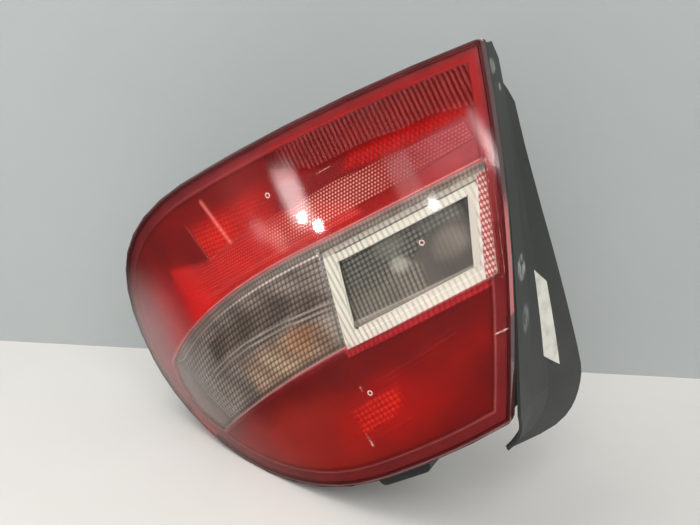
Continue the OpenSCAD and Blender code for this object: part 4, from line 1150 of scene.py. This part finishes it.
# The table the lamp leans on and the wall behind it: both show only from their front
stageSpec = {"tableNormal": (0.55, -0.10, 0.83), "tableColour": seen(214, 211, 206), "tableDeep": 4,
             "wallColour": seen(172, 176, 175), "wallFrom": (-0.390, 0.061, 0.067),
             "wallTo": (0.117, 0.241, -0.247), "wallHigh": 3, "halfLong": 4, "letThrough": 0.5,
             "roomDark": 0.94, "roomLift": 0.80, "nearDepth": (-0.09, 0.0), "nearAcross": (-0.46, -0.32)}


def stagePlane(name, origin, along, across, deep, colour, passes=()):
    mesh = bpy.data.meshes.new(name)
    ends = ((-1, 0), (1, 0), (1, 1), (-1, 1))
    corners = [origin + along * a * stageSpec["halfLong"] + across * b * deep for a, b in ends]
    mesh.from_pydata([tuple(c) for c in corners], [], [(0, 1, 2, 3)])
    piece = bpy.data.objects.new(name, mesh)
    bpy.context.collection.objects.link(piece)
    f = Finish(name)
    dark, light = (tuple(min(1, c * share) for c in colour) for share in (0.96, 1.04))
    shade = f.mix(f.noise(9, 4, 0.6), dark, light)
    # What the gloss sees of the table falls off into the room in front
    nearBy = f.place()[1].smooth(*stageSpec["nearDepth"]) * f.place()[0].smooth(*stageSpec["nearAcross"])
    mirrored = f.node("ShaderNodeLightPath", output="Is Glossy Ray")
    dimmed = mirrored * (stageSpec["roomDark"] - stageSpec["roomLift"] * nearBy)
    shade = f.mix(dimmed, shade, (0.0, 0.0, 0.0))
    matt = f.shader(Base_Color=shade, Roughness=0.6)
    behind = f.node("ShaderNodeNewGeometry", output="Backfacing")
    for kind in passes:
        behind = behind.atLeast(f.node("ShaderNodeLightPath", output=kind) * stageSpec["letThrough"])
    mesh.materials.append(f.close(f.blend(behind, matt, f.node("ShaderNodeBsdfTransparent"))))
    return piece


def buildStage():
    normal = Vector(stageSpec["tableNormal"]).normalized()
    lowest = min(normal.dot(v.co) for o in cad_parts.values() for v in o.data.vertices)
    along = Vector(stageSpec["wallTo"]) - Vector(stageSpec["wallFrom"])
    along = (along - normal * along.dot(normal)).normalized()
    outward = along.cross(normal).normalized()
    if outward.dot(camBack) < 0:
        outward = -outward
    base = Vector(stageSpec["wallFrom"])
    base += normal * (lowest - base.dot(normal))
    table = stagePlane("tableTop", base, along, outward, stageSpec["tableDeep"], stageSpec["tableColour"])
    # Half of the light from the room behind goes through the wall, so the back of the part isn't dark
    wall = stagePlane("wallBehind", base, along, normal, stageSpec["wallHigh"], stageSpec["wallColour"],
                      ("Is Diffuse Ray", "Is Shadow Ray"))
    for piece, front in ((table, normal), (wall, outward)):
        if piece.data.polygons[0].normal.dot(front) < 0:
            piece.data.flip_normals()


buildStage()
print("stage built")

# Plain soft light; the gloss shows a darker room that is brighter overhead and at the far left
studio = {"world": (0.90, 0.92, 0.93), "strength": 0.76, "room": 0.06, "overhead": 0.15, "farLeft": 0.20,
          "overheadFrom": (0.15, 0.6), "farLeftFrom": (0.70, 1.0), "middle": (0.0, -0.05, -0.02),
          "keyPower": 14.5, "keySize": (1.4, 1.1), "keyUp": 1.3, "keyLeft": 0.9, "keyBack": 0.6,
          "fillPower": 16.5, "fillSize": (1.4, 1.2), "fillUp": 0.5, "fillRight": 0.1, "fillBack": 1.6}


def addLight(name, place, towards, size, power, glossy=True, softEdge=0.0):
    data = bpy.data.lights.new(name, "AREA")
    data.shape = "RECTANGLE"
    data.size, data.size_y = size
    data.energy = power
    if softEdge > 0:
        data.use_nodes = True
        f = Finish(name, data.node_tree)
        where = f.node("ShaderNodeNewGeometry", output="Parametric")
        axes = f.node("ShaderNodeSeparateXYZ", None, {0: where}).socket.node.outputs
        glow = 1.0
        for axis in (Sock(f, axes[0]), Sock(f, axes[1])):
            glow = axis.smooth(0.0, softEdge) * (1.0 - axis.smooth(1 - softEdge, 1.0)) * glow
        out = f.tree.nodes.new("ShaderNodeOutputLight")
        shine = f.node("ShaderNodeEmission", None, {"Strength": glow})
        f.tree.links.new(shine.socket, out.inputs["Surface"])
    light = bpy.data.objects.new(name, data)
    light.location = place
    light.rotation_mode = "QUATERNION"
    light.rotation_quaternion = (Vector(towards) - Vector(place)).to_track_quat("-Z", "Y")
    light.visible_camera = False
    light.visible_glossy = glossy
    bpy.context.collection.objects.link(light)


def lightStudio():
    world = bpy.data.worlds.new("studio")
    bpy.context.scene.world = world
    world.use_nodes = True
    f = Finish("studio", world.node_tree)
    ray = f.node("ShaderNodeLightPath").socket.node.outputs
    mirrored = Sock(f, ray["Is Glossy Ray"]).atLeast(Sock(f, ray["Is Transmission Ray"]))
    way = f.node("ShaderNodeTexCoord", output="Generated")
    axes = f.node("ShaderNodeSeparateXYZ", None, {0: way}).socket.node.outputs
    left, up = 0.0 - Sock(f, axes[0]), Sock(f, axes[2])
    room = studio["room"] + studio["overhead"] * up.smooth(*studio["overheadFrom"])
    room = room + studio["farLeft"] * left.smooth(*studio["farLeftFrom"])
    plain = f.node("ShaderNodeBackground", None, {"Color": studio["world"], "Strength": studio["strength"]})
    shown = f.node("ShaderNodeBackground", None, {"Color": studio["world"], "Strength": room})
    out = f.tree.nodes.new("ShaderNodeOutputWorld")
    f.tree.links.new(f.blend(mirrored, plain, shown).socket, out.inputs["Surface"])
    middle = Vector(studio["middle"])
    key = middle + camUp * studio["keyUp"] - camRight * studio["keyLeft"] + camBack * studio["keyBack"]
    fill = middle + camBack * studio["fillBack"] + camRight * studio["fillRight"] + camUp * studio["fillUp"]
    addLight("keyPane", key, middle, studio["keySize"], studio["keyPower"], glossy=False)
    addLight("fillPane", fill, middle, studio["fillSize"], studio["fillPower"], glossy=False)


lightStudio()

# Small bright panes, each where the lens mirrors it: the spot of the face, the way out from it, how far
# away the pane is, its size, its power and how soft its edge is
mirroredPanes = {
    "lampLeft": ((0.0226, -0.0877, 0.0304), (-0.644, -0.756, 0.117), 0.6, (0.026, 0.018), 0.11, 0.05),
    "lampRight": ((0.0308, -0.0890, 0.0210), (-0.609, -0.788, 0.091), 0.6, (0.026, 0.018), 0.11, 0.05),
    "windowLeft": ((0.0247, -0.0862, 0.0455), (-0.640, -0.750, 0.165), 0.9, (0.14, 0.20), 0.60, 0.35),
    "windowMiddle": ((0.0989, -0.0896, 0.0235), (-0.266, -0.958, 0.109), 1.5, (0.20, 0.22), 0.16, 0.25),
    "doorRight": ((0.1556, -0.0829, 0.0129), (0.050, -0.997, 0.055), 1.5, (0.09, 0.44), 1.10, 0.45),
    "frameSpark": ((0.1079, -0.0900, -0.0001), (-0.216, -0.976, 0.033), 1.3, (0.07, 0.04), 0.5, 0.45),
}
for name, (spot, toward, away, paneSize, power, softEdge) in mirroredPanes.items():
    panePlace = Vector(spot) + Vector(toward).normalized() * away
    addLight(name, panePlace, spot, paneSize, power, softEdge=softEdge)
print("studio lit")
